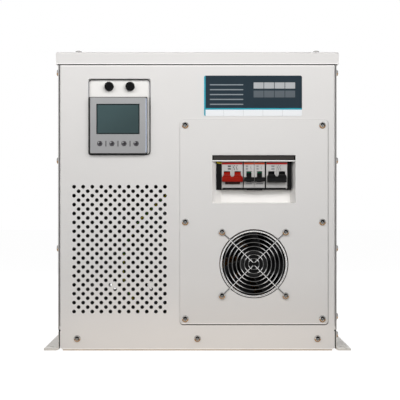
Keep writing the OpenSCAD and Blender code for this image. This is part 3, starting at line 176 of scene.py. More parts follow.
class DetailProperties(PropertyGroup):
    stripe_h: length("Stripe height", "Height of the coloured stripes on the breakers", 3.0 * MM)
    stripe_z: length("Stripe place", "Stripe below the top of the nose", 3.2 * MM)
    mark_w: length("Mark width", "Line width of the contact marks", 0.5 * MM)
    skin: length("Print thickness", "How far a print or a film stands off its ground", 0.12 * MM)
    edge_w: length("Opening edge", "Width of the bare edge round the opening of the meter", 1.4 * MM)
    edge_r: length("Opening corners", "Rounding of the bare edge at its corners", 6.6 * MM)
    rim_w: length("Window rim", "Width of the rim round the window", 1.0 * MM)
    rim_r: length("Window corners", "Rounding of the rim at its corners", 2.0 * MM)
    seam_w: length("Seam width", "Width of the seam round the service plate", 2.0 * MM)
    seam_r: length("Seam corners", "Rounding of the seam at its corners", 6.4 * MM)
    notch_r: length("Notch radius", "Radius of the relief notches of the front panel", 1.6 * MM)
    # Painted shade of the screw sockets reaches this radius
    socket_shade_r: length("Socket radius", "Radius of the dark sockets of the screws", 1.8 * MM)
    glint_r: length("Glint radius", "Radius of the bright spot under each socket", 0.55 * MM)
    terminal_r: length("Terminal screws", "Radius of the terminal screws", 2.5 * MM)
    film_r: length("Hub film", "Radius of the film on the hub of the fan", 16.5 * MM)
    lead_r: length("Lead radius", "Radius of the short end of a lead", 1.1 * MM)
    screw_sides: IntProperty(name="Screw sides", description="Sides of the small screws", min=8, max=32,
                             default=16)


class StudioProperties(PropertyGroup):
    key: power("Key light", "Power of the key light in front", 13.0)
    top: power("Top light", "Power of the light above the front", 4.6)
    fill: power("Side lights", "Power of each soft light at the sides", 1.0)
    back: power("Back lights", "Power of the lights behind and above", 11.0)
    low: power("Floor light", "Power of the warm light from the floor", 0.06)
    sky: FloatProperty(name="Sky", description="Strength of the sky", default=0.3)
    distance: length("Camera distance", "Camera in front of the case", 2.4)
    eye_z: length("Camera height", "Height of the camera above the floor", 0.2521)
    frame_w: length("Picture width", "Width that the picture shows at the front of the case", 0.66)


GROUPS = {
    "case_finish": CaseProperties, "metal_finish": MetalProperties, "plastic_finish": PlasticProperties,
    "plate_finish": PlateProperties, "winding_finish": WindingProperties, "small_details": DetailProperties,
    "studio_setup": StudioProperties,
}


def settings(name):
    """Property group of the scene."""
    return getattr(bpy.context.scene, name)


def middle(low, high):
    """Middle of a box."""
    return (low + high) / 2


class Flow:
    """Shader socket that takes Python arithmetic and adds its Math nodes."""

    def __init__(self, finish, socket):
        self.finish = finish
        self.socket = socket

    def math(self, operation, *values, clamp=False):
        """New Math node on the values."""
        return self.finish.node("ShaderNodeMath", {"operation": operation, "use_clamp": clamp},
                                dict(enumerate(values)))

    def __add__(self, other):
        return self.math("ADD", self, other)

    def __radd__(self, other):
        return self.math("ADD", other, self)

    def __sub__(self, other):
        return self.math("SUBTRACT", self, other)

    def __rsub__(self, other):
        return self.math("SUBTRACT", other, self)

    def __mul__(self, other):
        return self.math("MULTIPLY", self, other)

    def __rmul__(self, other):
        return self.math("MULTIPLY", other, self)

    def __truediv__(self, other):
        return self.math("DIVIDE", self, other)

    def __rtruediv__(self, other):
        return self.math("DIVIDE", other, self)

    def __gt__(self, other):
        return self.math("GREATER_THAN", self, other)

    def __lt__(self, other):
        return self.math("LESS_THAN", self, other)

    def __abs__(self):
        return self.math("ABSOLUTE", self)

    def sine(self):
        """Sine of the value."""
        return self.math("SINE", self)

    def fraction(self):
        """What the value is past a whole number."""
        return self.math("FRACT", self)

    def least(self, other):
        """The lesser of two values."""
        return self.math("MINIMUM", self, other)

    def held(self):
        """The value held between 0 and 1."""
        return self.math("ADD", self, 0.0, clamp=True)

    def ease(self, low, high):
        """0 at low, 1 at high and smooth between them."""
        return self.finish.node("ShaderNodeMapRange", {"interpolation_type": "SMOOTHSTEP"},
                                {0: self, 1: low, 2: high, 3: 0.0, 4: 1.0})


class Finish:
    """A material whose nodes are made by one method."""

    def __init__(self, name):
        self.material = bpy.data.materials.new(name)
        self.material.use_nodes = True
        self.tree = self.material.node_tree
        self.tree.nodes.clear()

    def node(self, kind, choices=None, sockets=None, out=0):
        """New node with its settings and the values or links of its sockets."""
        new = self.tree.nodes.new(kind)
        for name, value in (choices or {}).items():
            setattr(new, name, value)
        for name, value in (sockets or {}).items():
            target = new.inputs[name]
            if isinstance(value, Flow):
                self.tree.links.new(value.socket, target)
            elif target.type == "RGBA":
                target.default_value = (*value[:3], 1.0)
            else:
                target.default_value = value
        return Flow(self, new.outputs[out]) if new.outputs else None

    def place(self):
        """Place on the object."""
        return self.node("ShaderNodeTexCoord", out="Object")

    def axes(self):
        """The three coordinates of the place."""
        new = self.node("ShaderNodeSeparateXYZ", sockets={0: self.place()})
        return [Flow(self, output) for output in new.socket.node.outputs]

    def stretched(self, factors):
        """Place with its axes stretched."""
        return self.node("ShaderNodeMapping", {"vector_type": "POINT"},
                         {"Vector": self.place(), "Scale": factors})

    def noise(self, size, detail, where=None):
        """Cloudy value with spots of about this size."""
        return self.node("ShaderNodeTexNoise", sockets={
            "Vector": where or self.place(), "Scale": 1 / size, "Detail": detail}, out="Fac")

    def cells(self, size):
        """Random colour for each of many small cells."""
        return self.node("ShaderNodeTexVoronoi", sockets={"Vector": self.place(), "Scale": 1 / size},
                         out="Color")

    def mix(self, factor, first, second):
        """Colour between two others."""
        return self.node("ShaderNodeMix", {"data_type": "RGBA"}, {0: factor, 6: first, 7: second}, out=2)

    def soft_edge(self, radius):
        """Normal that rounds the edges."""
        return self.node("ShaderNodeBevel", {"samples": 4}, {"Radius": radius})

    def slope(self):
        """Upward share of the true normal: 1 on level tops, -1 on undersides."""
        normal = self.node("ShaderNodeNewGeometry", out="Normal")
        return self.node("ShaderNodeSeparateXYZ", sockets={0: normal}, out="Z")

    def facing(self):
        """Share of the true normal along the depth of the case: 1 on its front and its back."""
        normal = self.node("ShaderNodeNewGeometry", out="Normal")
        return abs(self.node("ShaderNodeSeparateXYZ", sockets={0: normal}, out="Y"))

    def spread(self, value, centre, pitch):
        """Distance to the nearest of evenly spaced places."""
        return (((value - centre) / pitch + 0.5).fraction() - 0.5) * pitch

    def hollow(self, reach):
        """1 inside the case, behind the outer faces of its sheets and nearer to its middle than reach."""
        paint, base, roof = 0.3 * MM, 2.6 * MM, 1.0 * MM
        x, y, z = self.axes()
        return ((abs(x) < reach) * (abs(y) < -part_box("front_panel")[0].y - paint)
                * (z > base) * (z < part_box("lid")[1].z - roof))

    def edge_mask(self, radius):
        """Near 1 where the softened normal leaves the true one."""
        true = self.node("ShaderNodeNewGeometry", out="Normal")
        dot = self.node("ShaderNodeVectorMath", {"operation": "DOT_PRODUCT"},
                        {0: self.soft_edge(radius), 1: true}, out="Value")
        return (1.0 - dot).ease(0.01, 0.2)

    def bump(self, height, depth, normal=None, strength=1.0):
        """Normal that a height raises, on top of another normal."""
        sockets = {"Height": height, "Distance": depth, "Strength": strength}
        if normal is not None:
            sockets["Normal"] = normal
        return self.node("ShaderNodeBump", sockets=sockets)

    def surface(self, **sockets):
        """Ends the material with its shader."""
        shader = self.node("ShaderNodeBsdfPrincipled",
                           sockets={name.replace("_", " "): value for name, value in sockets.items()})
        self.node("ShaderNodeOutputMaterial", sockets={"Surface": shader})
        return self.material

    def grained(self, body, grain, rough, relief, edge=None, **sockets):
        """Surface whose grain changes its roughness (swing, base) and raises it (depth, strength)."""
        swing, base = rough
        depth, strength = relief
        normal = self.soft_edge(edge) if edge else None
        return self.surface(Base_Color=body, Roughness=grain * swing + base,
                            Normal=self.bump(grain, depth, normal, strength), **sockets)


def shade(tint, factor):
    """Colour made darker or lighter."""
    return tuple(min(1.0, value * factor) for value in tint)


# Size of the grain of moulded plastic, and of the slow changes of its tone
MOULD_GRAIN = 0.25 * MM
MOULD_TONE = 24 * MM


def powder_coat(name, tint, radius=None, marks=None):
    """Sprayed coat with a fine grain, a slow change of tone, a painted highlight along its edges and any
    painted light, shade or marks over it.
    """
    case = settings("case_finish")
    finish = Finish(name)
    radius = case.edge if radius is None else radius
    grain = finish.noise(case.grain, 2.0)
    tone = finish.noise(90 * MM, 3.0)
    body = finish.mix(tone.ease(0.3, 0.7) * 0.5, tint, shade(tint, 0.975))
    body = finish.mix((grain - 0.5) * 0.06 + 0.03, body, shade(tint, 0.9))
    # Painted highlight: the softened edges are made a little paler than the coat
    body = finish.mix(finish.edge_mask(radius) * 0.25, body, shade(tint, 1.08))
    if marks:
        body = marks(finish, body, tint)
    rough = (grain - 0.5) * 0.16 + (tone - 0.5) * 0.1 + case.roughness
    return finish.surface(Base_Color=body, Roughness=rough, Specular_IOR_Level=0.42,
                          Normal=finish.bump(grain, 0.02 * MM, finish.soft_edge(radius), 0.5))


def shade_inside(finish, body, tint):
    """Paints deep shade over what lies inside the case."""
    sheet = 1.0 * MM
    inside = finish.hollow(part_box("right_side_panel")[1].x - sheet)
    # Painted shade: inner faces are made nearly black where the vents show them
    return finish.mix(inside * 0.95, body, shade(tint, 0.02))


def lid_highlight(finish, body, tint):
    """Painted highlight along the lower edge of the lid, and painted shade inside the case."""
    hem = 1.7 * MM
    z = finish.axes()[2]
    # Painted highlight on the lower edge
    body = finish.mix((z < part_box("lid")[0].z + hem) * 0.9, body, shade(tint, 1.3))
    return shade_inside(finish, body, tint)


def side_marks(finish, body, tint):
    """Shaded front edge of a side panel, darkest at its seam and under the lid."""
    edge_w, seam_w = 1.2 * MM, 1.5 * MM
    fade, lid_gap = 150 * MM, 20 * MM
    low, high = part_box("right_side_panel")
    x, y, z = finish.axes()
    edge = y < low.y + edge_w
    seam = edge * (abs(x) < high.x - seam_w)
    body = finish.mix(edge * 0.9, body, shade(tint, 0.55))
    body = finish.mix(seam * 0.8, body, shade(tint, 0.34))
    body = finish.mix(seam * z.ease(high.z - fade, high.z - lid_gap) * 0.8, body, shade(tint, 0.1))
    return shade_inside(finish, body, tint)


def plate_light_and_shade(finish, body, tint):
    """Service plate with painted shade that makes it a little darker towards its foot, and a painted
    highlight along its lower edge.
    """
    fade, hem = 80 * MM, 1.7 * MM
    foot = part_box("service_plate")[0].z
    z = finish.axes()[2]
    # Painted shade towards the foot
    body = finish.mix((foot + fade - z).ease(0.0, fade) * 0.7, body, shade(tint, 0.88))
    # Painted highlight along the lower edge
    return finish.mix((z < foot + hem) * 0.8, body, shade(tint, 1.22))


def tray_marks(finish, body, tint):
    """Recess, its left wall light and its right wall shaded."""
    fade, corner = 26 * MM, 6 * MM
    low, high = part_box("recess_tray")
    x = finish.axes()[0]
    body = finish.mix(1.0 - x.ease(low.x, low.x + fade), body, shade(tint, 1.12))
    return finish.mix(x.ease(high.x - fade, high.x - corner), body, shade(tint, 0.86))


def moulded(name, tint, rough=0.42, shine=0.45):
    """Moulded plastic with a spark eroded grain and a painted highlight on its edges."""
    edge = 0.35 * MM
    finish = Finish(name)
    fine = finish.noise(MOULD_GRAIN, 2.0)
    tone = finish.noise(MOULD_TONE, 2.0)
    # Painted highlight: the edges are made paler and a little glossier
    edge_highlight = finish.edge_mask(edge)
    body = finish.mix(tone.ease(0.3, 0.7) * 0.6, shade(tint, 1.03), shade(tint, 0.93))
    lighter = tuple(value * 1.12 + 0.015 for value in tint)
    body = finish.mix(edge_highlight * 0.4, body, lighter)
    roughness = (fine - 0.5) * 0.14 + (rough - 0.06 * edge_highlight)
    return finish.surface(Base_Color=body, Roughness=roughness, Specular_IOR_Level=shine,
                          Normal=finish.bump(fine, 0.012 * MM, finish.soft_edge(edge), 0.6))


def plated(name, tint, rough):
    """Bright plated metal with fine scratches, a painted warm reflection of the floor on its lower slopes
    and painted shade round its rim.
    """
    finish = Finish(name)
    lines = finish.noise(1.2 * MM, 3.0, finish.stretched((1.0, 1.0, 9.0)))
    haze = finish.noise(6 * MM, 3.0)
    body = finish.mix(haze.ease(0.35, 0.7) * 0.5, tint, shade(tint, 0.82))
    # Painted shade round the rim of each head
    body = finish.mix((1.0 - finish.facing()).ease(0.4, 0.9) * 0.95, body, screen(34, 29, 24))
    # Painted reflection: warm floor colour on the lower slopes
    body = finish.mix((-1.0 * finish.slope()).ease(-0.04, 0.16) * 0.9, body, screen(168, 124, 66))
    roughness = lines * 0.1 + (haze - 0.5) * 0.12 + rough
    return finish.surface(Base_Color=body, Metallic=0.45, Roughness=roughness,
                          Normal=finish.bump(lines, 0.006 * MM, finish.soft_edge(0.2 * MM), 0.5))


def guard_wire(name, tint):
    """Bright wire of the fan guard with a painted reflection: duller where its rings run level or upright,
    bright on its outer ring, darker on the arms outside it.
    """
    ring_r, arm_r = 50.5 * MM, 57 * MM
    centre = middle(*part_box("fan_guard"))
    finish = Finish(name)
    x, _, z = finish.axes()
    across = x - centre.x
    up = z - centre.z
    square = across * across + up * up
    # Painted reflection: bright only near the diagonals and on the outer ring
    slant = abs(across * up * 2.0 / square).ease(0.55, 0.98)
    rim = square > ring_r ** 2
    arm = square > arm_r ** 2
    lines = finish.noise(0.8 * MM, 3.0)
    body = finish.mix((slant + rim).held(), shade(tint, 0.19), tint)
    # Painted shade on the arms outside the ring
    body = finish.mix(arm * 0.8, body, shade(tint, 0.2))
    return finish.grained(body, lines, rough=(0.1, 0.16), relief=(0.004 * MM, 0.4), edge=0.1 * MM,
                          Metallic=1.0)


def front_light_and_shade(finish, body, tint):
    """Front panel with painted light and shade: vent holes darkened and widened by painted shade, painted
    highlights on its lower edge and round its lower corners with a warm painted shade beyond them, a painted
    highlight and a dark painted shadow line under the lid, and painted shade inside the case.
    """
    hem, fold, seam, sheet = 2.4 * MM, 3.4 * MM, 1.7 * MM, 2.5 * MM
    columns, rows = 5.3, 28.5
    low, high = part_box("front_panel")
    case = settings("case_finish")
    x, _, z = finish.axes()
    centre = middle(*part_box("meter_plate")).x
    gaps = []
    for row in (0, 1):
        across = finish.spread(x, centre + row * case.vent_pitch / 2, case.vent_pitch)
        up = finish.spread(z, case.vent_z + row * case.vent_step, 2 * case.vent_step)
        gaps.append(across * across + up * up)
    field = ((abs(x - centre) < columns * case.vent_pitch) * (z > case.vent_z - case.vent_step / 2)
             * (z < case.vent_z + rows * case.vent_step))
    light = shade(tint, 1.25)
    # Painted highlight along the lower edge
    body = finish.mix((z < low.z + hem) * 0.8, body, light)
    out = (abs(x) - (high.x - case.corner)) / case.corner
    down = ((low.z + case.corner) - z) / case.corner
    square = (out * out + down * down) * (out > 0.0) * (down > 0.0)
    # Painted highlight round the lower corners, painted warm shade beyond them
    body = finish.mix((square > 0.72) * 0.8, body, light)
    body = finish.mix((square > 1.0) * 0.9, body, screen(184, 177, 166))
    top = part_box("lid")[0].z
    # Painted highlight below the lid and a painted shadow line against it
    body = finish.mix((z > top - fold) * 0.8, body, light)
    body = finish.mix((z > top - seam) * 0.95, body, shade(tint, 0.1))
    # Painted shade round each vent hole, wider than its opening
    hole = field * (gaps[0].least(gaps[1]) < case.vent_shade_r ** 2)
    body = finish.mix(hole, body, shade(tint, 0.004))
    # Painted shade inside the case
    return finish.mix(finish.hollow(high.x - sheet) * 0.95, body, shade(tint, 0.02))


def hood_coat(name, tint):
    """Dark coat of the strip under the ceiling, with painted shade deeper along its upper edge and at its
    ends.
    """
    end, upper = 2.2 * MM, 3.0 * MM
    low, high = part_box("recess_hood")
    finish = Finish(name)
    x, _, z = finish.axes()
    grain = finish.noise(0.7 * MM, 2.0)
    # Painted shade at the ends and along the upper edge
    ends = (x < low.x + end) + (x > high.x - end)
    deep = ((z > high.z - upper) + ends).held()
    body = finish.mix(deep * 0.95, tint, shade(tint, 0.05))
    return finish.grained(body, grain, rough=(0.16, 0.5), relief=(0.02 * MM, 0.5), edge=0.3 * MM,
                          Specular_IOR_Level=0.1)


def meter_face(name, tint):
    """Grey face of the meter, a little lighter towards its top."""
    low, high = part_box("meter_fascia")
    finish = Finish(name)
    z = finish.axes()[2]
    grain = finish.noise(MOULD_GRAIN, 2.0)
    tone = finish.noise(MOULD_TONE, 2.0)
    body = finish.mix(tone.ease(0.3, 0.7) * 0.5, shade(tint, 1.02), shade(tint, 0.95))
    body = finish.mix(z.ease(low.z, high.z), shade(tint, 0.9), body)
    return finish.grained(body, grain, rough=(0.14, 0.4), relief=(0.012 * MM, 0.6), edge=0.2 * MM)


def button_face(name, tint):
    """Dark button with a painted highlight on its upper left and a darker middle."""
    spot_x, spot_z, spot_r = -1.7 * MM, 1.8 * MM, 1.3 * MM
    deep_x, deep_r = 0.4 * MM, 2.2 * MM
    first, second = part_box("meter_button_1"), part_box("meter_button_2")
    centre = middle(*first)
    finish = Finish(name)
    x, _, z = finish.axes()
    across = finish.spread(x, centre.x, second[0].x - first[0].x)
    up = z - centre.z
    grain = finish.noise(MOULD_GRAIN, 2.0)
    light = (across - spot_x) * (across - spot_x) + (up - spot_z) * (up - spot_z)
    deep = (across - deep_x) * (across - deep_x) + up * up * 1.3
    # Painted highlight on the upper left
    body = finish.mix((light < spot_r ** 2) * 0.9, tint, screen(168, 168, 170))
    body = finish.mix((deep < deep_r ** 2) * 0.9, body, shade(tint, 0.2))
    return finish.surface(Base_Color=body, Roughness=grain * 0.1 + 0.3, Normal=finish.soft_edge(0.3 * MM))


def meter_frame(name, tint):
    """Moulding of the meter with a painted olive reflection, in patches, on its upper slope and painted
    shade on its underside.
    """
    low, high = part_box("meter_fascia")
    finish = Finish(name)
    z = finish.axes()[2]
    grain = finish.noise(0.3 * MM, 2.0)
    dust = finish.noise(9 * MM, 3.0)
    # Painted reflection on the upper slope
    body = finish.mix((z > high.z) * (dust * 0.3 + 0.6), tint, screen(48, 46, 40))
    # Painted shade on the underside
    body = finish.mix(z < low.z, body, shade(tint, 0.1))
    return finish.grained(body, grain, rough=(0.12, 0.36), relief=(0.01 * MM, 0.5), edge=0.2 * MM,
                          Specular_IOR_Level=0.3)


def cut_edge(name, tint):
    """Bare edge of a sheet opening, grey, with a painted shadow that makes it dark along its top and beside
    the meter.
    """
    upper, lower = 26.4 * MM, 1.0 * MM
    face_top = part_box("meter_fascia")[1].z
    finish = Finish(name)
    z = finish.axes()[2]
    grain = finish.noise(0.8 * MM, 3.0)
    # Painted shadow along the top and beside the meter
    dark = (z > face_top + upper) + (z < face_top + lower)
    body = finish.mix(dark.held(), tint, shade(tint, 0.05))
    return finish.grained(body, grain, rough=(0.2, 0.4), relief=(0.01 * MM, 0.4),
                          Specular_IOR_Level=0.3)


def seam_shade_coat(name, tint):
    """Painted shade in the seam of the service plate, darkest along its lower side as a painted shadow."""
    fade = 6 * MM
    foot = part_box("service_plate")[0].z
    finish = Finish(name)
    z = finish.axes()[2]
    grain = finish.noise(0.8 * MM, 3.0)
    under = 1.0 - z.ease(foot, foot + fade)
    body = finish.mix(under * 0.95, tint, shade(tint, 0.24))
    return finish.grained(body, grain, rough=(0.2, 0.5), relief=(0.01 * MM, 0.4))


def galvanized(name, tint):
    """Zinc plate with faint crystals."""
    finish = Finish(name)
    crystal = finish.cells(5 * MM)
    flake = finish.node("ShaderNodeSeparateColor", sockets={0: crystal})
    body = finish.mix(flake * 0.7, shade(tint, 0.8), shade(tint, 1.15))
    grain = finish.noise(0.5 * MM, 3.0)
    return finish.surface(Base_Color=body, Metallic=1.0, Roughness=flake * 0.16 + grain * 0.1 + 0.26,
                          Normal=finish.bump(grain, 0.01 * MM, finish.soft_edge(0.3 * MM), 0.5))


def lever_plastic(name, tint, flag, pivot_z):
    """Lever moulding with a coloured flag on the upper sector of its drum and a painted highlight on its
    edges.
    """
    flag_low, flag_high = 6.2 * MM, 7.9 * MM
    finish = Finish(name)
    z = finish.axes()[2]
    fine = finish.noise(MOULD_GRAIN, 2.0)
    sector = (z > pivot_z + flag_low) * (z < pivot_z + flag_high)
    body = finish.mix(sector, tint, flag)
    # Painted highlight on the edges
    body = finish.mix(finish.edge_mask(0.3 * MM) * 0.3, body, shade(tint, 1.6))
    return finish.grained(body, fine, rough=(0.12, 0.34), relief=(0.01 * MM, 0.5), edge=0.3 * MM,
                          Specular_IOR_Level=0.12)


def display_glass(name, tint):
    """Dark display behind clear glass, darker round its edge and towards its lower right."""
    low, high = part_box("meter_display")
    finish = Finish(name)
    x, _, z = finish.axes()
    inset = 3.4 * MM
    reach_x = (x - low.x - inset).least((high.x - inset) - x)
    reach_z = (z - low.z - inset).least((high.z - inset) - z)
    inside = reach_x.least(reach_z).ease(-0.6 * MM, 0.9 * MM)
    tone = finish.noise(30 * MM, 2.0)
    far = ((x - low.x) / (high.x - low.x) - (z - low.z) / (high.z - low.z) + 1.0) * 0.5
    body = finish.mix(tone.ease(0.3, 0.7) * 0.4, tint, shade(tint, 0.9))
    body = finish.mix(far.ease(0.15, 0.85), body, shade(tint, 0.72))
    body = finish.mix(inside, shade(tint, 0.16), body)
    return finish.surface(Base_Color=body, Roughness=tone * 0.05 + 0.2, Coat_Weight=0.5,
                          Coat_Roughness=0.04, Normal=finish.soft_edge(0.3 * MM))


def printed_plate(name):
    """Film of the data plate: a dark field, a line and a pale band of blank boxes."""
    boxes_across, box_line = 5, 0.012
    rules_down, rule_w = 7.0, 0.22
    cell_w, cell_gap = 0.1075, 0.06
    plate = settings("plate_finish")
    low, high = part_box("data_plate")
    finish = Finish(name)
    x, _, z = finish.axes()
    band_top = low.z + plate.band_h
    band = z < band_top
    line = (z > band_top) * (z < band_top + plate.line_w)
    side = x < low.x + plate.line_w
    boxes = (((x - low.x) / ((high.x - low.x) / boxes_across)).fraction() < box_line) * band
    grain = finish.noise(0.4 * MM, 2.0)
    tone = finish.noise(40 * MM, 2.0)
    across = (x - low.x) / (high.x - low.x)
    up = (z - band_top) / (high.z - band_top)
    left = (across > 0.06) * (across < 0.4)
    rules = left * (up > 0.14) * (up < 0.75) * ((up * rules_down).fraction() < rule_w)
    field = (across > 0.5) * (across < 0.93) * (up > 0.36) * (up < 0.8)
    cell = ((across - 0.5) / cell_w).fraction() > cell_gap
    body = finish.mix(tone.ease(0.3, 0.7) * 0.5, plate.ground, shade(plate.ground, 0.88))
    body = finish.mix(rules * 0.6, body, plate.rule)
    body = finish.mix(field * cell * (up > 0.62) * 0.5, body, plate.band)
    body = finish.mix(field * cell * (up < 0.56) * 0.2, body, plate.rule)
    body = finish.mix(band, body, plate.band)
    body = finish.mix((line + side).held(), body, plate.line)
    body = finish.mix(boxes * 0.6, body, shade(plate.band, 0.4))
    return finish.grained(body, grain, rough=(0.1, 0.3), relief=(0.004 * MM, 0.4), edge=0.2 * MM,
                          Coat_Weight=0.3, Coat_Roughness=0.1)


def laminations(name, tint):
    """Edges of the varnished sheets of the core, stacked front to back."""
    pitch = 1.0 * MM
    finish = Finish(name)
    y = finish.axes()[1]
    sheet = (y * (2 * math.pi / pitch)).sine()
    stain = finish.noise(14 * MM, 4.0)
    body = finish.mix(sheet * 0.25 + 0.3, tint, shade(tint, 1.7))
    body = finish.mix(stain.ease(0.55, 0.75) * 0.5, body, screen(92, 66, 44))
    return finish.surface(Base_Color=body, Metallic=0.6, Roughness=stain * 0.3 + 0.3,
                          Normal=finish.bump(sheet, 0.05 * MM, finish.soft_edge(0.4 * MM), 0.4))


def wound_wire(name, tint):
    """Turns of varnished wire, with painted shade darkening the grooves between them."""
    finish = Finish(name)
    z = finish.axes()[2]
    pitch = settings("winding_finish").turn
    wander = finish.noise(30 * MM, 2.0)
    turn = (z * (2 * math.pi / pitch) + wander * 2.0).sine()
    tone = finish.noise(18 * MM, 3.0)
    # Painted shade between the turns
    body = finish.mix(turn * 0.4 + 0.5, shade(tint, 0.35), tint)
    body = finish.mix(tone.ease(0.4, 0.75) * 0.5, body, shade(tint, 0.55))
    return finish.surface(Base_Color=body, Roughness=tone * 0.2 + 0.22, Coat_Weight=0.6,
                          Coat_Roughness=0.12, Normal=finish.bump(turn, 0.5 * MM, strength=0.8))


def striped_lead(name):
    """Sleeve of the earth lead, green and yellow along its length."""
    pitch = 9 * MM
    winding = settings("winding_finish")
    finish = Finish(name)
    x, y, z = finish.axes()
    stripe = ((x * 0.5 + z * 0.3 + y) * (2 * math.pi / pitch)).sine().ease(-0.12, 0.12)
    fine = finish.noise(0.6 * MM, 2.0)
    body = finish.mix(stripe, winding.lead_green, winding.lead_yellow)
    return finish.grained(body, fine, rough=(0.12, 0.3), relief=(0.01 * MM, 0.4))


def rubber(name, tint):
    """Black rubber with dust in its grain."""
    finish = Finish(name)
    fine = finish.noise(0.9 * MM, 4.0)
    dust = finish.noise(11 * MM, 3.0)
    body = finish.mix(dust.ease(0.45, 0.8) * 0.4, tint, screen(84, 82, 78))
    return finish.grained(body, fine, rough=(0.2, 0.62), relief=(0.05 * MM, 0.6), edge=0.6 * MM)


# Turns what is made flat on the ground to face the front
TO_FRONT = Matrix.Rotation(math.pi / 2, 3, "X")

# Distance below which two places are the same
TOUCH = 1e-6


def dress(material, *nodes):
    """Gives CAD nodes one material."""
    for node in nodes:
        mesh = frame["nodes"][node].data
        mesh.materials.clear()
        mesh.materials.append(material)


def add_piece(name, mesh, material, body):
    """Turns a bmesh into a piece of the object that rides on a CAD body."""
    bmesh.ops.recalc_face_normals(mesh, faces=mesh.faces)
    data = bpy.data.meshes.new(name)
    mesh.to_mesh(data)
    mesh.free()
    piece = bpy.data.objects.new(name, data)
    bpy.context.scene.collection.objects.link(piece)
    data.materials.append(material)
    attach(piece, body)


def soften(mesh, edges, offset):
    """Bevels edges with two rounded steps."""
    bmesh.ops.bevel(mesh, geom=edges, offset=offset, segments=2, profile=0.5, affect="EDGES",
                    material=-1)


def edges_of(verts):
    """Edges that meet in any of the points."""
    return list({edge for vert in verts for edge in vert.link_edges})


def add_block(mesh, low, high, bevel=0.0):
    """Adds a block between two corners, its edges bevelled."""
    size = [b - a for a, b in zip(low, high)]
    centre = [(a + b) / 2 for a, b in zip(low, high)]
    made = bmesh.ops.create_cube(mesh, size=1.0)["verts"]
    bmesh.ops.scale(mesh, verts=made, vec=size)
    bmesh.ops.translate(mesh, verts=made, vec=centre)
    if bevel:
        soften(mesh, edges_of(made), bevel)


def add_disc(mesh, centre, radius, depth, sides, bevel):
    """Adds a round plate that faces the front, with a bevelled rim."""
    made = bmesh.ops.create_cone(mesh, cap_ends=True, segments=sides, radius1=radius, radius2=radius,
                                 depth=depth)["verts"]
    bmesh.ops.rotate(mesh, verts=made, matrix=TO_FRONT)
    bmesh.ops.translate(mesh, verts=made, vec=centre)
    front = min(vert.co.y for vert in made)
    rim = [edge for edge in edges_of(made) if all(abs(v.co.y - front) < TOUCH for v in edge.verts)]
    soften(mesh, rim, bevel)


def add_slotted_head(mesh, centre, radius, depth, sides):
    """Adds a screw head that faces the front, with a driver slot across it."""
    x, y, z = centre
    slot = radius * 0.22
    floor = depth * 0.5
    add_disc(mesh, (x, y + depth - floor / 2, z), radius, floor, sides, floor * 0.1)
    for side in (-1, 1):
        made = bmesh.ops.create_circle(mesh, cap_ends=True, radius=radius, segments=sides)["verts"]
        geom = made + edges_of(made) + list({f for v in made for f in v.link_faces})
        cut = bmesh.ops.bisect_plane(mesh, geom=geom, plane_co=(side * slot, 0, 0),
                                     plane_no=(side, 0, 0), clear_inner=True)
        faces = [g for g in cut["geom"] if isinstance(g, bmesh.types.BMFace) and g.is_valid]
        raised = bmesh.ops.extrude_face_region(mesh, geom=faces)
        top = [g for g in raised["geom"] if isinstance(g, bmesh.types.BMVert)]
        bmesh.ops.translate(mesh, verts=top, vec=(0, 0, depth - floor))
        half = list({v for f in faces for v in f.verts} | set(top))
        bmesh.ops.rotate(mesh, verts=half, matrix=TO_FRONT)
        bmesh.ops.translate(mesh, verts=half, vec=(x, y + depth - floor, z))


def add_frame(mesh, corners, radius, width, front, depth):
    """Adds a thin rounded frame that faces the front, between four limits in x and z."""
    left, right, bottom, top = corners
    made = bmesh.ops.create_grid(mesh, x_segments=1, y_segments=1, size=0.5)["verts"]
    bmesh.ops.scale(mesh, verts=made, vec=(right - left, top - bottom, 1))
    bmesh.ops.bevel(mesh, geom=made, offset=radius, segments=8, profile=0.5, affect="VERTICES",
                    material=-1)
    inner = list(mesh.faces)
    rim = bmesh.ops.inset_region(mesh, faces=inner, thickness=width, use_boundary=True,
                                 use_even_offset=True)["faces"]
    bmesh.ops.delete(mesh, geom=inner, context="FACES")
    raised = bmesh.ops.extrude_face_region(mesh, geom=rim)
    moved = [item for item in raised["geom"] if isinstance(item, bmesh.types.BMVert)]
    bmesh.ops.translate(mesh, verts=moved, vec=(0, 0, depth))
    bmesh.ops.rotate(mesh, verts=mesh.verts, matrix=TO_FRONT)
    bmesh.ops.translate(mesh, verts=mesh.verts,
                        vec=((left + right) / 2, front + depth, (bottom + top) / 2))


def add_ring(mesh, centre, inner, outer, depth):
    """Adds a flat ring that faces the front, revolved from its rectangle."""
    points = ((inner, 0), (outer, 0), (outer, depth), (inner, depth))
    verts = [mesh.verts.new((r, y, 0)) for r, y in points]
    edges = [mesh.edges.new((a, b)) for a, b in zip(verts, verts[1:] + verts[:1])]
    bmesh.ops.spin(mesh, geom=verts + edges, cent=(0, 0, 0), axis=(0, 1, 0), angle=2 * math.pi,
                   steps=96, use_merge=True)
    bmesh.ops.translate(mesh, verts=mesh.verts, vec=centre)


def pieces(node):
    """Boxes of the separate solids of one CAD node."""
    mesh = bmesh.new()
    mesh.from_mesh(frame["nodes"][node].data)
    left = set(mesh.verts)
    boxes = []
    while left:
        group, edge = set(), {left.pop()}
        while edge:
            group |= edge
            edge = {e.other_vert(v) for v in edge for e in v.link_edges} - group
        left -= group
        points = [v.co for v in group]
        boxes.append((Vector(map(min, zip(*points))), Vector(map(max, zip(*points)))))
    mesh.free()
    return boxes


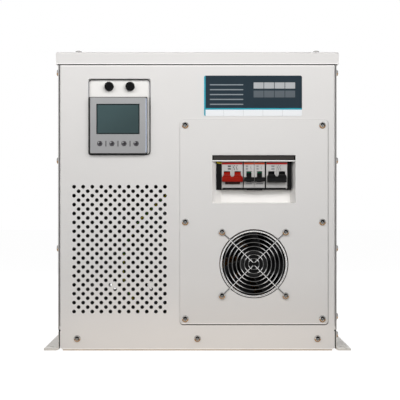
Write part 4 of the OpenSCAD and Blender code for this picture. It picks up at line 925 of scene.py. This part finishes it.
class CaseFinish(Operator):
    """Coat the sheet metal of the case"""

    bl_idname = "transformer.case_finish"
    bl_label = "Case"

    def execute(self, context):
        case = settings("case_finish")
        dress(powder_coat("side_coat", case.paint, marks=side_marks), "left_side_panel", "right_side_panel")
        dress(powder_coat("back_coat", case.paint, marks=shade_inside), "back_panel")
        dress(powder_coat("lid_coat", case.paint, marks=lid_highlight), "lid")
        dress(powder_coat("plate_coat", case.paint, marks=plate_light_and_shade), "service_plate")
        dress(powder_coat("front_coat", case.paint, marks=front_light_and_shade), "front_panel")
        dress(powder_coat("tray_coat", case.inner_paint, marks=tray_marks), "recess_tray")
        dress(powder_coat("inner_coat", case.inner_paint), "meter_plate")
        dress(hood_coat("hood_coat", case.hood_paint), "recess_hood")
        dress(powder_coat("base_coat", case.foot_metal, marks=shade_inside), "base_frame")
        return {"FINISHED"}


class MetalFinish(Operator):
    """Plate the screws, the guard, the rail and the other small metal parts"""

    bl_idname = "transformer.metal_finish"
    bl_label = "Metal parts"

    def execute(self, context):
        metal = settings("metal_finish")
        dress(plated("screw_plate", metal.screw, 0.14), "lid_screws", "side_screws", "front_panel_screws",
              "back_panel_screws", "service_plate_screws", "fan_screws")
        dress(guard_wire("guard_plate", metal.wire), "fan_guard")
        dress(galvanized("zinc_plate", metal.zinc), "meter_plate_nuts", "rail_brackets", "din_rail",
              "core_bolts", "mounting_bolts")
        dress(galvanized("clamp_coat", shade(metal.zinc, 0.5)), "core_clamps")
        dress(laminations("core_sheets", metal.core), "transformer_core")
        dress(plated("fuse_plate", metal.brass, 0.26), "fuse_links")
        return {"FINISHED"}


class PlasticFinish(Operator):
    """Finish the mouldings of the breakers, the meter, the fan and the glands"""

    bl_idname = "transformer.plastic_finish"
    bl_label = "Mouldings"

    def execute(self, context):
        tints = settings("plastic_finish")
        pivot_z = next(j["pos_m"][2] for j in frame["joints"] if j["child"] == "input_breaker_lever")
        dress(moulded("white_moulding", tints.white, 0.36), "main_switch", "input_breaker", "output_breaker",
              "output_switch")
        dress(moulded("red_moulding", tints.red, 0.4, shine=0.15), "main_switch_lever")
        dress(lever_plastic("flagged_lever", tints.black, tints.green, pivot_z),
              "input_breaker_lever", "output_breaker_lever")
        dress(moulded("black_moulding", tints.black, 0.46, shine=0.12), "output_switch_lever",
              "end_blanks", "row_divider", "fuse_holders", "fuse_holder_nuts", "fuse_cap_left",
              "fuse_cap_right", "gland_bodies", "gland_dome_nuts", "gland_locknuts", "meter_clamps")
        dress(moulded("fan_moulding", shade(tints.black, 1.3), 0.4, shine=0.3), "fan_housing",
              "fan_rotor")
        dress(meter_frame("frame_moulding", shade(tints.black, 0.8)), "meter_case_body")
        dress(meter_face("grey_moulding", tints.grey), "meter_fascia")
        dress(button_face("button_moulding", tints.button), "meter_button_1", "meter_button_2",
              "meter_button_3", "meter_button_4")
        dress(moulded("cream_moulding", tints.cream, 0.5), "coil_former", "coil_terminals")
        dress(display_glass("display_glass", tints.glass), "meter_display")
        dress(rubber("pad_rubber", shade(tints.black, 0.9)), "transformer_pads")
        return {"FINISHED"}


class PlateFinish(Operator):
    """Print the plain bands of the data plate"""

    bl_idname = "transformer.plate_finish"
    bl_label = "Data plate"

    def execute(self, context):
        dress(printed_plate("plate_film"), "data_plate")
        return {"FINISHED"}


class WindingFinish(Operator):
    """Finish the windings and the earth lead"""

    bl_idname = "transformer.winding_finish"
    bl_label = "Windings"

    def execute(self, context):
        winding = settings("winding_finish")
        dress(wound_wire("primary_wire", winding.copper), "primary_winding")
        dress(wound_wire("secondary_wire", winding.copper), "secondary_winding")
        dress(striped_lead("lead_sleeve"), "earth_lead")
        return {"FINISHED"}


# Devices of the row and their poles
DEVICES = {"main_switch": 2, "input_breaker": 1, "output_breaker": 1, "output_switch": 2}

# Places across each device as shares of its width: its printed block and its contact signs
PRINTS = {
    "main_switch": (0.36, (0.60, 0.725)),
    "input_breaker": (0.30, (0.70,)),
    "output_breaker": (0.30, (0.70,)),
    "output_switch": (0.32, (0.58, 0.68)),
}

# Height of a nose, and of its upper end above the middle of its device
NOSE_H = 45 * MM
NOSE_RISE = 22.5 * MM

# Places below the top of a nose: contact signs, bars and half their height, grooves and the slot of a
# single lever
SIGN_DROP = 10.2 * MM
BARS = ((7.6 * MM, 1.1 * MM), (11.4 * MM, 0.7 * MM), (13.2 * MM, 0.5 * MM))
BAR_HALF = 2.6 * MM
GROOVES = (37.6 * MM, 40.6 * MM, 43.2 * MM)
GROOVE_HALF = 0.2 * MM
SLOT_DROPS = (37.4 * MM, 35.8 * MM)

# Size of the signs on a device with one pole
SMALL_SIGN = 0.7


def nose_top(node):
    """Height of the upper end of the nose of a device."""
    return middle(*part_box(node)).z + NOSE_RISE


class BreakerMarks(Operator):
    """Print the stripes, the contact signs and the lines on the breaker noses"""

    bl_idname = "transformer.breaker_marks"
    bl_label = "Breaker marks"

    def execute(self, context):
        tints = settings("plastic_finish")
        red, warm, ink, faint = (bmesh.new() for _ in range(4))
        for node, poles in DEVICES.items():
            self.stripe(red if poles == 2 else warm, node)
            self.signs(ink if node == "main_switch" else faint, node, 1.0 if poles == 2 else SMALL_SIGN)
            self.lines(faint, node, poles)
        for name, mesh, finish, tint, rough, slot in (
                ("red_stripes", red, "red_stripe", tints.stripe, 0.4, "red_plastic"),
                ("orange_stripes", warm, "orange_stripe", tints.warm_stripe, 0.4, "red_plastic"),
                ("contact_signs", ink, "sign_ink", tints.sign, 0.5, "black_plastic"),
                ("nose_lines", faint, "line_ink", tints.faint, 0.5, "grey_plastic")):
            add_piece(name, mesh, moulded(finish, tint, rough), "enclosure")
        return {"FINISHED"}

    def stripe(self, mesh, node):
        """Coloured stripe across the top of a nose."""
        detail = settings("small_details")
        low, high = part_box(node)
        end = 0.2 * MM
        z = nose_top(node) - detail.stripe_z
        add_block(mesh, (low.x + end, low.y - detail.skin, z - detail.stripe_h / 2),
                  (high.x - end, low.y + detail.skin, z + detail.stripe_h / 2), 0.04 * MM)

    def signs(self, mesh, node, size):
        """Contact signs and blank bars over a lever."""
        detail = settings("small_details")
        low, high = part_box(node)
        top = nose_top(node)
        block, contacts = PRINTS[node]
        for place in contacts:
            add_contact_sign(mesh, low.x + place * (high.x - low.x), low.y - detail.skin,
                             top - SIGN_DROP, detail.mark_w, size)
        x = low.x + block * (high.x - low.x)
        for drop, half in BARS:
            add_block(mesh, (x - BAR_HALF * size, low.y - detail.skin, top - drop - half),
                      (x + BAR_HALF * size, low.y + detail.skin, top - drop + half))

    def lines(self, mesh, node, poles):
        """Grooves under a lever, and the slot of a single lever, drawn as grey lines whose darkness is
        painted shade.
        """
        skin = settings("small_details").skin
        low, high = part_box(node)
        top = nose_top(node)
        end = 0.6 * MM
        # Painted shade in the grooves and the slot
        for drop in GROOVES:
            add_block(mesh, (low.x + end, low.y - skin, top - drop - GROOVE_HALF),
                      (high.x - end, low.y + skin, top - drop + GROOVE_HALF), 0.03 * MM)
        if poles == 1:
            margin = 0.18 * (high.x - low.x)
            add_block(mesh, (low.x + margin, low.y - skin, top - SLOT_DROPS[0]),
                      (high.x - margin, low.y + skin, top - SLOT_DROPS[1]))


def add_contact_sign(mesh, x, y, z, width, size):
    """Generic sign of one switch contact: two short lines and a slanted blade between them."""
    half = width * size
    deep = 0.2 * MM
    blade, aside = 4.4 * MM, 0.9 * MM
    for offset, tall in ((3.2 * MM, 1.0 * MM), (-3.0 * MM, 1.2 * MM)):
        add_block(mesh, (x - half, y, z + (offset - tall) * size),
                  (x + half, y + deep, z + (offset + tall) * size))
    made = bmesh.ops.create_cube(mesh, size=1.0)["verts"]
    bmesh.ops.scale(mesh, verts=made, vec=(2 * half, deep, blade * size))
    bmesh.ops.rotate(mesh, verts=made, matrix=Matrix.Rotation(math.radians(-24), 3, "Y"))
    bmesh.ops.translate(mesh, verts=made, vec=(x - aside * size, y + deep / 2, z))


class RecessTrim(Operator):
    """Add the painted shadow strips, and the painted highlights of the lip and of the rim of the window,
    round the noses of the breakers
    """

    bl_idname = "transformer.recess_trim"
    bl_label = "Recess trim"

    def execute(self, context):
        self.shadow_under_row()
        self.slot_shade()
        self.lip()
        self.rim()
        return {"FINISHED"}

    def shadow_under_row(self):
        """Painted shadow under the row: a black line, thicker in its middle."""
        left_end, right_end, half = 1.2 * MM, 2.0 * MM, 13 * MM
        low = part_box("main_switch")[0]
        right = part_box("output_switch")[1].x
        front, back = low.y - 0.3 * MM, low.y + 1.0 * MM
        foot = nose_top("main_switch") - NOSE_H
        x = (low.x + right) / 2
        dark = bmesh.new()
        add_block(dark, (low.x + left_end, front, foot - 1.5 * MM),
                  (right - right_end, back, foot + 1.3 * MM), 0.3 * MM)
        add_block(dark, (x - half, front, foot - 2.6 * MM), (x + half, back, foot - 1.3 * MM), 0.3 * MM)
        tint = shade(settings("plastic_finish").black, 0.6)
        add_piece("row_shadow", dark, moulded("row_shadow_black", tint, 0.6, shine=0.1), "enclosure")

    def slot_shade(self):
        """Warm shade under the lever of the main switch."""
        left, right, bottom, top = 5.6 * MM, 30.2 * MM, 38.0 * MM, 33.6 * MM
        skin = settings("small_details").skin
        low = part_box("main_switch")[0]
        z = nose_top("main_switch")
        slot = bmesh.new()
        add_block(slot, (low.x + left, low.y - skin, z - bottom), (low.x + right, low.y + skin, z - top),
                  0.1 * MM)
        tint = settings("plastic_finish").slot
        add_piece("slot_shade", slot, moulded("slot_brown", tint, 0.6, shine=0.2), "enclosure")

    def lip(self):
        """Light lip between the dark strip and the row, painted paler than the recess as a highlight."""
        end, gap, deep = 0.6 * MM, 0.1 * MM, 1.0 * MM
        low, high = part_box("recess_hood")
        lip = bmesh.new()
        add_block(lip, (low.x + end, low.y, nose_top("main_switch") + gap),
                  (high.x - end, low.y + deep, low.z - gap), 0.15 * MM)
        tint = settings("case_finish").lip_highlight_paint
        add_piece("ceiling_lip", lip, powder_coat("lip_highlight_coat", tint, 0.2 * MM), "enclosure")

    def rim(self):
        """Thin rim of the window, with a wider strip along its top, painted paler than the plate as a
        highlight on the edge of the window.
        """
        out, window_h = 0.9 * MM, 81.7 * MM
        strip_in, strip_low, strip_high, strip_deep = 0.6 * MM, 1.5 * MM, 0.4 * MM, 1.4 * MM
        detail = settings("small_details")
        low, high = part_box("recess_hood")
        left, right = low.x - out, high.x + out
        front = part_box("service_plate")[0].y - 0.1 * MM
        rim = bmesh.new()
        add_frame(rim, (left, right, high.z - window_h, high.z + out), detail.rim_r, detail.rim_w,
                  front, 0.4 * MM)
        add_block(rim, (left + strip_in, front, high.z - strip_low),
                  (right - strip_in, front + strip_deep, high.z + strip_high))
        tint = settings("case_finish").rim_highlight_paint
        add_piece("window_rim", rim, powder_coat("rim_highlight_coat", tint, 0.1 * MM), "enclosure")


class OpeningEdge(Operator):
    """Line the opening of the meter with the bare edge of its sheet, dark with a painted shadow, and the
    meter with a painted highlight along its side
    """

    bl_idname = "transformer.opening_edge"
    bl_label = "Opening edge"

    def execute(self, context):
        left, right, below, above = 3.8 * MM, 7.3 * MM, 3.0 * MM, 31.3 * MM
        detail = settings("small_details")
        low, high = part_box("meter_fascia")
        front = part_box("front_panel")[0].y - 0.15 * MM
        edge = bmesh.new()
        add_frame(edge, (low.x - left, high.x + right, low.z - below, high.z + above), detail.edge_r,
                  detail.edge_w, front, 0.5 * MM)
        tint = settings("metal_finish").cut
        add_piece("opening_edge", edge, cut_edge("edge_metal", tint), "enclosure")
        # Painted highlight: bright strip on the right side of the meter
        line = bmesh.new()
        add_block(line, (high.x + 0.1 * MM, low.y + 0.1 * MM, low.z + 1.0 * MM),
                  (high.x + 1.3 * MM, high.y, high.z - 1.2 * MM), 0.1 * MM)
        tint = settings("plastic_finish").side
        add_piece("meter_side_glint", line, moulded("glint_blue", tint, 0.3), "enclosure")
        return {"FINISHED"}


class PlateSeam(Operator):
    """Draw the painted shade of the seam round the service plate and the painted contact shadow under the
    front panel
    """

    bl_idname = "transformer.plate_seam"
    bl_label = "Plate seam"

    def execute(self, context):
        left, right, below, above = 0.4 * MM, 1.5 * MM, 1.9 * MM, 0.5 * MM
        case, detail = settings("case_finish"), settings("small_details")
        low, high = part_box("service_plate")
        panel_low, panel_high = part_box("front_panel")
        seam = bmesh.new()
        # Painted shade in the seam round the service plate
        add_frame(seam, (low.x - left, high.x + right, low.z - below, high.z + above), detail.seam_r,
                  detail.seam_w, panel_low.y - 0.1 * MM, 0.3 * MM)
        add_piece("plate_seam", seam, seam_shade_coat("seam_shade_paint", case.seam_shade_paint), "enclosure")
        # Painted contact shadow: warm brown line under the front panel
        hem = bmesh.new()
        reach = panel_high.x - case.corner * 0.8
        add_block(hem, (-reach, panel_low.y + 0.2 * MM, 0.3 * MM),
                  (reach, panel_low.y + 1.4 * MM, panel_low.z + 0.1 * MM), 0.2 * MM)
        add_piece("panel_contact_shadow", hem, moulded("contact_shadow_brown", case.contact_shadow_paint, 0.5), "enclosure")
        return {"FINISHED"}


class CornerNotches(Operator):
    """Mark the relief notches and the seams where the front panel meets the base"""

    bl_idname = "transformer.corner_notches"
    bl_label = "Corner notches"

    def execute(self, context):
        inset, height, line_half, line_foot = 0.2 * MM, 31.4 * MM, 0.6 * MM, 5 * MM
        low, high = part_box("front_panel")
        mesh = bmesh.new()
        for side in (-1, 1):
            x = side * (high.x - inset)
            add_disc(mesh, (x, low.y, low.z + height), settings("small_details").notch_r, 0.2 * MM, 20,
                     0.05 * MM)
            add_block(mesh, (x - line_half, low.y - 0.1 * MM, low.z + line_foot),
                      (x + line_half, low.y + 0.1 * MM, low.z + height - 0.4 * MM))
        tint = settings("plastic_finish").black
        add_piece("corner_notches", mesh, moulded("notch_black", tint, 0.7, shine=0.1), "enclosure")
        return {"FINISHED"}


class FanRim(Operator):
    """Line the hole of the fan with its rolled rim, painted white as a highlight, and a painted shadow as a
    dark gap outside it
    """

    bl_idname = "transformer.fan_rim"
    bl_label = "Fan rim"

    def execute(self, context):
        rim_in, rim_out, gap_in, gap_out = 52.7 * MM, 55.0 * MM, 55.2 * MM, 56.3 * MM
        tints = settings("plastic_finish")
        centre = middle(*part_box("fan_housing"))
        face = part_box("service_plate")[0].y
        bright, dark = bmesh.new(), bmesh.new()
        add_ring(bright, (centre.x, face + 0.3 * MM, centre.z), rim_in, rim_out, 0.8 * MM)
        add_ring(dark, (centre.x, face - 0.1 * MM, centre.z), gap_in, gap_out, 0.6 * MM)
        # Painted highlight on the rim and painted shadow outside it
        add_piece("fan_rim", bright, moulded("rim_highlight_white", tints.fan_rim, 0.4), "enclosure")
        add_piece("fan_gap_shadow", dark, moulded("gap_shadow_grey", tints.fan_gap_shadow, 0.6, shine=0.2), "enclosure")
        return {"FINISHED"}


class ScrewSockets(Operator):
    """Sink a dark socket of painted shade, with a small painted glint, into the screw heads that face the
    front
    """

    bl_idname = "transformer.screw_sockets"
    bl_label = "Screw sockets"

    def execute(self, context):
        raised, glint_x, glint_z = 0.3 * MM, -0.2 * MM, -1.3 * MM
        detail = settings("small_details")
        sides, soft = detail.screw_sides, 0.1 * MM
        dark, glint = bmesh.new(), bmesh.new()
        for node in ("service_plate_screws", "front_panel_screws", "fan_screws"):
            for low, high in pieces(node):
                x, z = (low.x + high.x) / 2, (low.z + high.z) / 2
                # Painted shade for the socket, painted glint below it
                add_disc(dark, (x, low.y, z + raised), detail.socket_shade_r, 0.3 * MM, sides, soft)
                add_disc(glint, (x + glint_x, low.y, z + glint_z), detail.glint_r, 0.4 * MM, sides, soft)
        black, bright = settings("plastic_finish").black, settings("metal_finish").glint
        add_piece("screw_sockets", dark, moulded("socket_shade_black", black, 0.6, shine=0.2), "enclosure")
        add_piece("screw_glints", glint, moulded("glint_white", bright, 0.3), "enclosure")
        return {"FINISHED"}


class TerminalScrews(Operator):
    """Put the clamp screws into the terminals of the breakers"""

    bl_idname = "transformer.terminal_screws"
    bl_label = "Terminal screws"

    def execute(self, context):
        deep, reach, head_h = 22.0 * MM, 32.75 * MM, 3.0 * MM
        detail = settings("small_details")
        mesh = bmesh.new()
        for node, poles in DEVICES.items():
            low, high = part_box(node)
            pitch = (high.x - low.x) / poles
            centre = middle(low, high).z
            for pole in range(poles):
                for side in (-1, 1):
                    place = (low.x + (pole + 0.5) * pitch, low.y + deep, centre + side * reach)
                    add_slotted_head(mesh, place, detail.terminal_r, head_h, detail.screw_sides)
        tint = settings("metal_finish").zinc
        add_piece("terminal_screws", mesh, galvanized("terminal_plate", tint), "enclosure")
        return {"FINISHED"}


class MeterBars(Operator):
    """Raise the three short bars between the buttons of the meter"""

    bl_idname = "transformer.meter_bars"
    bl_label = "Meter bars"

    def execute(self, context):
        half_w, half_h, raised, sunk = 1.15 * MM, 4.7 * MM, 0.15 * MM, 0.1 * MM
        boxes = [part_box("meter_button_%d" % n) for n in range(1, 5)]
        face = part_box("meter_fascia")[0].y
        mesh = bmesh.new()
        for left, right in zip(boxes, boxes[1:]):
            x = (left[1].x + right[0].x) / 2
            z = middle(*left).z
            add_block(mesh, (x - half_w, face - raised, z - half_h), (x + half_w, face + sunk, z + half_h),
                      0.1 * MM)
        tint = shade(settings("plastic_finish").grey, 0.38)
        add_piece("meter_bars", mesh, moulded("bar_print", tint, 0.5), "enclosure")
        return {"FINISHED"}


class HubFilm(Operator):
    """Lay the plain round film into the hub of the fan"""

    bl_idname = "transformer.hub_film"
    bl_label = "Hub film"

    def execute(self, context):
        low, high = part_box("fan_rotor")
        centre = middle(low, high)
        mesh = bmesh.new()
        add_disc(mesh, (centre.x, low.y + 0.25 * MM, centre.z), settings("small_details").film_r,
                 0.3 * MM, 48, 0.08 * MM)
        tint = settings("plastic_finish").black
        add_piece("hub_film", mesh, moulded("hub_film", tint, 0.5, shine=0.15), "fan_rotor")
        return {"FINISHED"}


class LeadEnd(Operator):
    """Bend the short end of a lead over the top of the left filling strip"""

    bl_idname = "transformer.lead_end"
    bl_label = "Lead end"

    def execute(self, context):
        bend, turned, tilt = 9 * MM, math.radians(52), math.radians(70)
        inset, proud, below = 0.4 * MM, 0.7 * MM, 0.2 * MM
        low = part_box("end_blanks")[0]
        mesh = bmesh.new()
        ring = bmesh.ops.create_circle(mesh, cap_ends=False, radius=settings("small_details").lead_r,
                                       segments=12)["verts"]
        bmesh.ops.translate(mesh, verts=ring, vec=(bend, 0, 0))
        bmesh.ops.spin(mesh, geom=ring + edges_of(ring), cent=(0, 0, 0), axis=(0, 1, 0), angle=turned,
                       steps=12)
        bmesh.ops.holes_fill(mesh, edges=mesh.edges)
        bmesh.ops.rotate(mesh, verts=mesh.verts, matrix=Matrix.Rotation(tilt, 3, "Y"))
        left = min(vert.co.x for vert in mesh.verts)
        top = max(vert.co.z for vert in mesh.verts)
        bmesh.ops.translate(mesh, verts=mesh.verts, vec=(
            low.x + inset - left, low.y - proud, nose_top("main_switch") - below - top))
        tint = settings("winding_finish").lead_yellow
        add_piece("lead_end", mesh, moulded("lead_yellow", tint, 0.4), "enclosure")
        return {"FINISHED"}


# Colours of the lamps, and of the dome in front and above
PLAIN = (1.0, 1.0, 1.0)
KEY_TINT = (1.0, 0.998, 0.995)
COOL = (0.97, 0.985, 1.0)
WARM = (1.0, 0.8, 0.6)
DARK_FRONT = (0.12, 0.12, 0.13)
DARK_TOP = (0.2, 0.2, 0.21)

# Height at which the lamps aim
AIM_Z = 0.25

# Side of the square picture in pixels, and how far its middle is shifted
PICTURE = 400
SHIFT = 2.0


class StudioSetup(Operator):
    """Set the floor, the sky, the lamps and the camera"""

    bl_idname = "transformer.studio_setup"
    bl_label = "Studio"

    def execute(self, context):
        studio = settings("studio_setup")
        scene = context.scene
        scene.view_settings.view_transform = "Standard"
        self.floor(scene)
        self.sky(scene, studio)
        front = cad_box[0].y
        case = (0, front, AIM_Z)
        lamps = (
            ("key_lamp", studio.key, (1.6, 0.8), (0.35, -1.9, 0.75), case, KEY_TINT),
            ("top_lamp", studio.top, (1.3, 0.25), (-0.1, -0.8, 0.72), (-0.1, front, 0.45), PLAIN),
            ("right_lamp", studio.fill * 0.8, (0.5, 1.2), (1.5, -1.2, 0.7), case, COOL),
            ("left_lamp", studio.fill * 2.2, (0.5, 1.2), (-1.5, -1.2, 0.6), case, PLAIN),
            ("back_lamp", studio.back, (1.6, 1.0), (0, 2.2, 0.9), (0, 0, AIM_Z), PLAIN),
            ("roof_lamp", studio.back * 0.5, (1.2, 0.8), (0, 0.5, 1.7), (0, 0, AIM_Z), PLAIN),
            ("right_back_lamp", studio.back * 0.25, (1.0, 1.2), (2.0, 0.7, 0.6), (0, 0, AIM_Z), PLAIN),
            ("left_back_lamp", studio.back * 0.6, (1.0, 1.2), (-2.0, 0.7, 0.6), (0, 0, AIM_Z), PLAIN),
            ("floor_lamp", studio.low, (0.5, 0.02), (0, front - 0.07, 0.006), (0, front, 0.03), WARM),
        )
        for name, watts, size, place, aim, tint in lamps:
            lamp = self.lamp(scene, name, watts, size, Vector(place), Vector(aim), tint)
            lamp.visible_glossy = name not in ("key_lamp", "top_lamp")
        self.camera(scene, studio)
        return {"FINISHED"}

    def floor(self, scene):
        """Pale floor that shows as white to the camera and keeps the shadow of the case."""
        mesh = bmesh.new()
        bmesh.ops.create_grid(mesh, x_segments=2, y_segments=2, size=9.0)
        data = bpy.data.meshes.new("floor")
        mesh.to_mesh(data)
        mesh.free()
        floor = bpy.data.objects.new("floor", data)
        scene.collection.objects.link(floor)
        finish = Finish("floor_card")
        tone = finish.noise(0.5, 2.0)
        tint = finish.mix(tone * 0.2, screen(120, 119, 118), screen(116, 115, 114))
        card = finish.node("ShaderNodeBsdfDiffuse", sockets={"Color": tint})
        glow = finish.node("ShaderNodeEmission", sockets={"Color": PLAIN, "Strength": 0.965})
        seen = finish.node("ShaderNodeAddShader", sockets={0: card, 1: glow})
        rays = finish.node("ShaderNodeLightPath").socket.node.outputs
        bright = (Flow(finish, rays["Is Camera Ray"]) + Flow(finish, rays["Is Glossy Ray"])
                  + Flow(finish, rays["Is Transmission Ray"])).held()
        mixed = finish.node("ShaderNodeMixShader", sockets={0: bright, 1: card, 2: seen})
        finish.node("ShaderNodeOutputMaterial", sockets={"Surface": mixed})
        data.materials.append(finish.material)

    def sky(self, scene, studio):
        """Dome of soft light, darker in front and above, that the camera sees as white."""
        world = bpy.data.worlds.new("studio_sky")
        scene.world = world
        world.use_nodes = True
        world.node_tree.nodes.clear()
        finish = Finish.__new__(Finish)
        finish.tree = world.node_tree
        way = finish.node("ShaderNodeTexCoord", out="Generated")
        parts = finish.node("ShaderNodeSeparateXYZ", sockets={0: way}).socket.node.outputs
        front = (-1.0 * Flow(finish, parts[1])).ease(0.55, 0.95)
        dome = finish.mix(front, PLAIN, DARK_FRONT)
        dome = finish.mix(Flow(finish, parts[2]).ease(0.3, 0.7), dome, DARK_TOP)
        light = finish.node("ShaderNodeBackground", sockets={"Color": dome, "Strength": studio.sky})
        white = finish.node("ShaderNodeBackground", sockets={"Color": PLAIN, "Strength": 1.0})
        rays = finish.node("ShaderNodeLightPath", out="Is Camera Ray")
        mixed = finish.node("ShaderNodeMixShader", sockets={0: rays, 1: light, 2: white})
        finish.node("ShaderNodeOutputWorld", sockets={"Surface": mixed})

    def lamp(self, scene, name, watts, size, place, aim, tint):
        """Soft lamp at a place, turned to what it lights."""
        data = bpy.data.lights.new(name, "AREA")
        data.shape = "RECTANGLE"
        data.size, data.size_y = size
        data.energy = watts
        data.color = tint
        lamp = bpy.data.objects.new(name, data)
        lamp.location = place
        lamp.rotation_euler = (aim - place).to_track_quat("-Z", "Y").to_euler()
        scene.collection.objects.link(lamp)
        return lamp

    def camera(self, scene, studio):
        """Camera level with the middle of the case, in front of it."""
        sensor, case_face, aside = 36.0, -0.152, 0.001
        data = bpy.data.cameras.new("camera")
        data.sensor_width = sensor
        data.sensor_fit = "HORIZONTAL"
        data.lens = sensor * studio.distance / studio.frame_w
        data.shift_x = SHIFT / PICTURE
        data.shift_y = -SHIFT / PICTURE
        data.clip_end = 50
        camera = bpy.data.objects.new("camera", data)
        camera.location = (aside, case_face - studio.distance, studio.eye_z)
        camera.rotation_euler = (math.pi / 2, 0, 0)
        scene.collection.objects.link(camera)
        scene.camera = camera


OPERATORS = (CaseFinish, MetalFinish, PlasticFinish, PlateFinish, WindingFinish, BreakerMarks,
             RecessTrim, OpeningEdge, PlateSeam, CornerNotches, FanRim, ScrewSockets, TerminalScrews,
             MeterBars, HubFilm, LeadEnd, StudioSetup)


class TransformerPanel(Panel):
    """Finishes and details in the order in which they are made"""

    bl_idname = "VIEW3D_PT_transformer"
    bl_label = "Isolation Transformer"
    bl_space_type = "VIEW_3D"
    bl_region_type = "UI"
    bl_category = "Transformer"

    def draw(self, context):
        for name, group in GROUPS.items():
            box = self.layout.box()
            for field in group.__annotations__:
                box.prop(getattr(context.scene, name), field)
        for operator in OPERATORS:
            self.layout.operator(operator.bl_idname)


CLASSES = (*GROUPS.values(), *OPERATORS, TransformerPanel)


def register():
    for item in CLASSES:
        bpy.utils.register_class(item)
    for name, group in GROUPS.items():
        setattr(bpy.types.Scene, name, PointerProperty(type=group))


def unregister():
    for name in GROUPS:
        delattr(bpy.types.Scene, name)
    for item in reversed(CLASSES):
        bpy.utils.unregister_class(item)


def main():
    register()
    bpy.ops.transformer.case_finish()
    bpy.ops.transformer.metal_finish()
    bpy.ops.transformer.plastic_finish()
    bpy.ops.transformer.plate_finish()
    bpy.ops.transformer.winding_finish()
    bpy.ops.transformer.breaker_marks()
    bpy.ops.transformer.recess_trim()
    bpy.ops.transformer.opening_edge()
    bpy.ops.transformer.plate_seam()
    bpy.ops.transformer.corner_notches()
    bpy.ops.transformer.fan_rim()
    bpy.ops.transformer.screw_sockets()
    bpy.ops.transformer.terminal_screws()
    bpy.ops.transformer.meter_bars()
    bpy.ops.transformer.hub_film()
    bpy.ops.transformer.lead_end()
    bpy.ops.transformer.studio_setup()


if __name__ == "__main__":
    main()
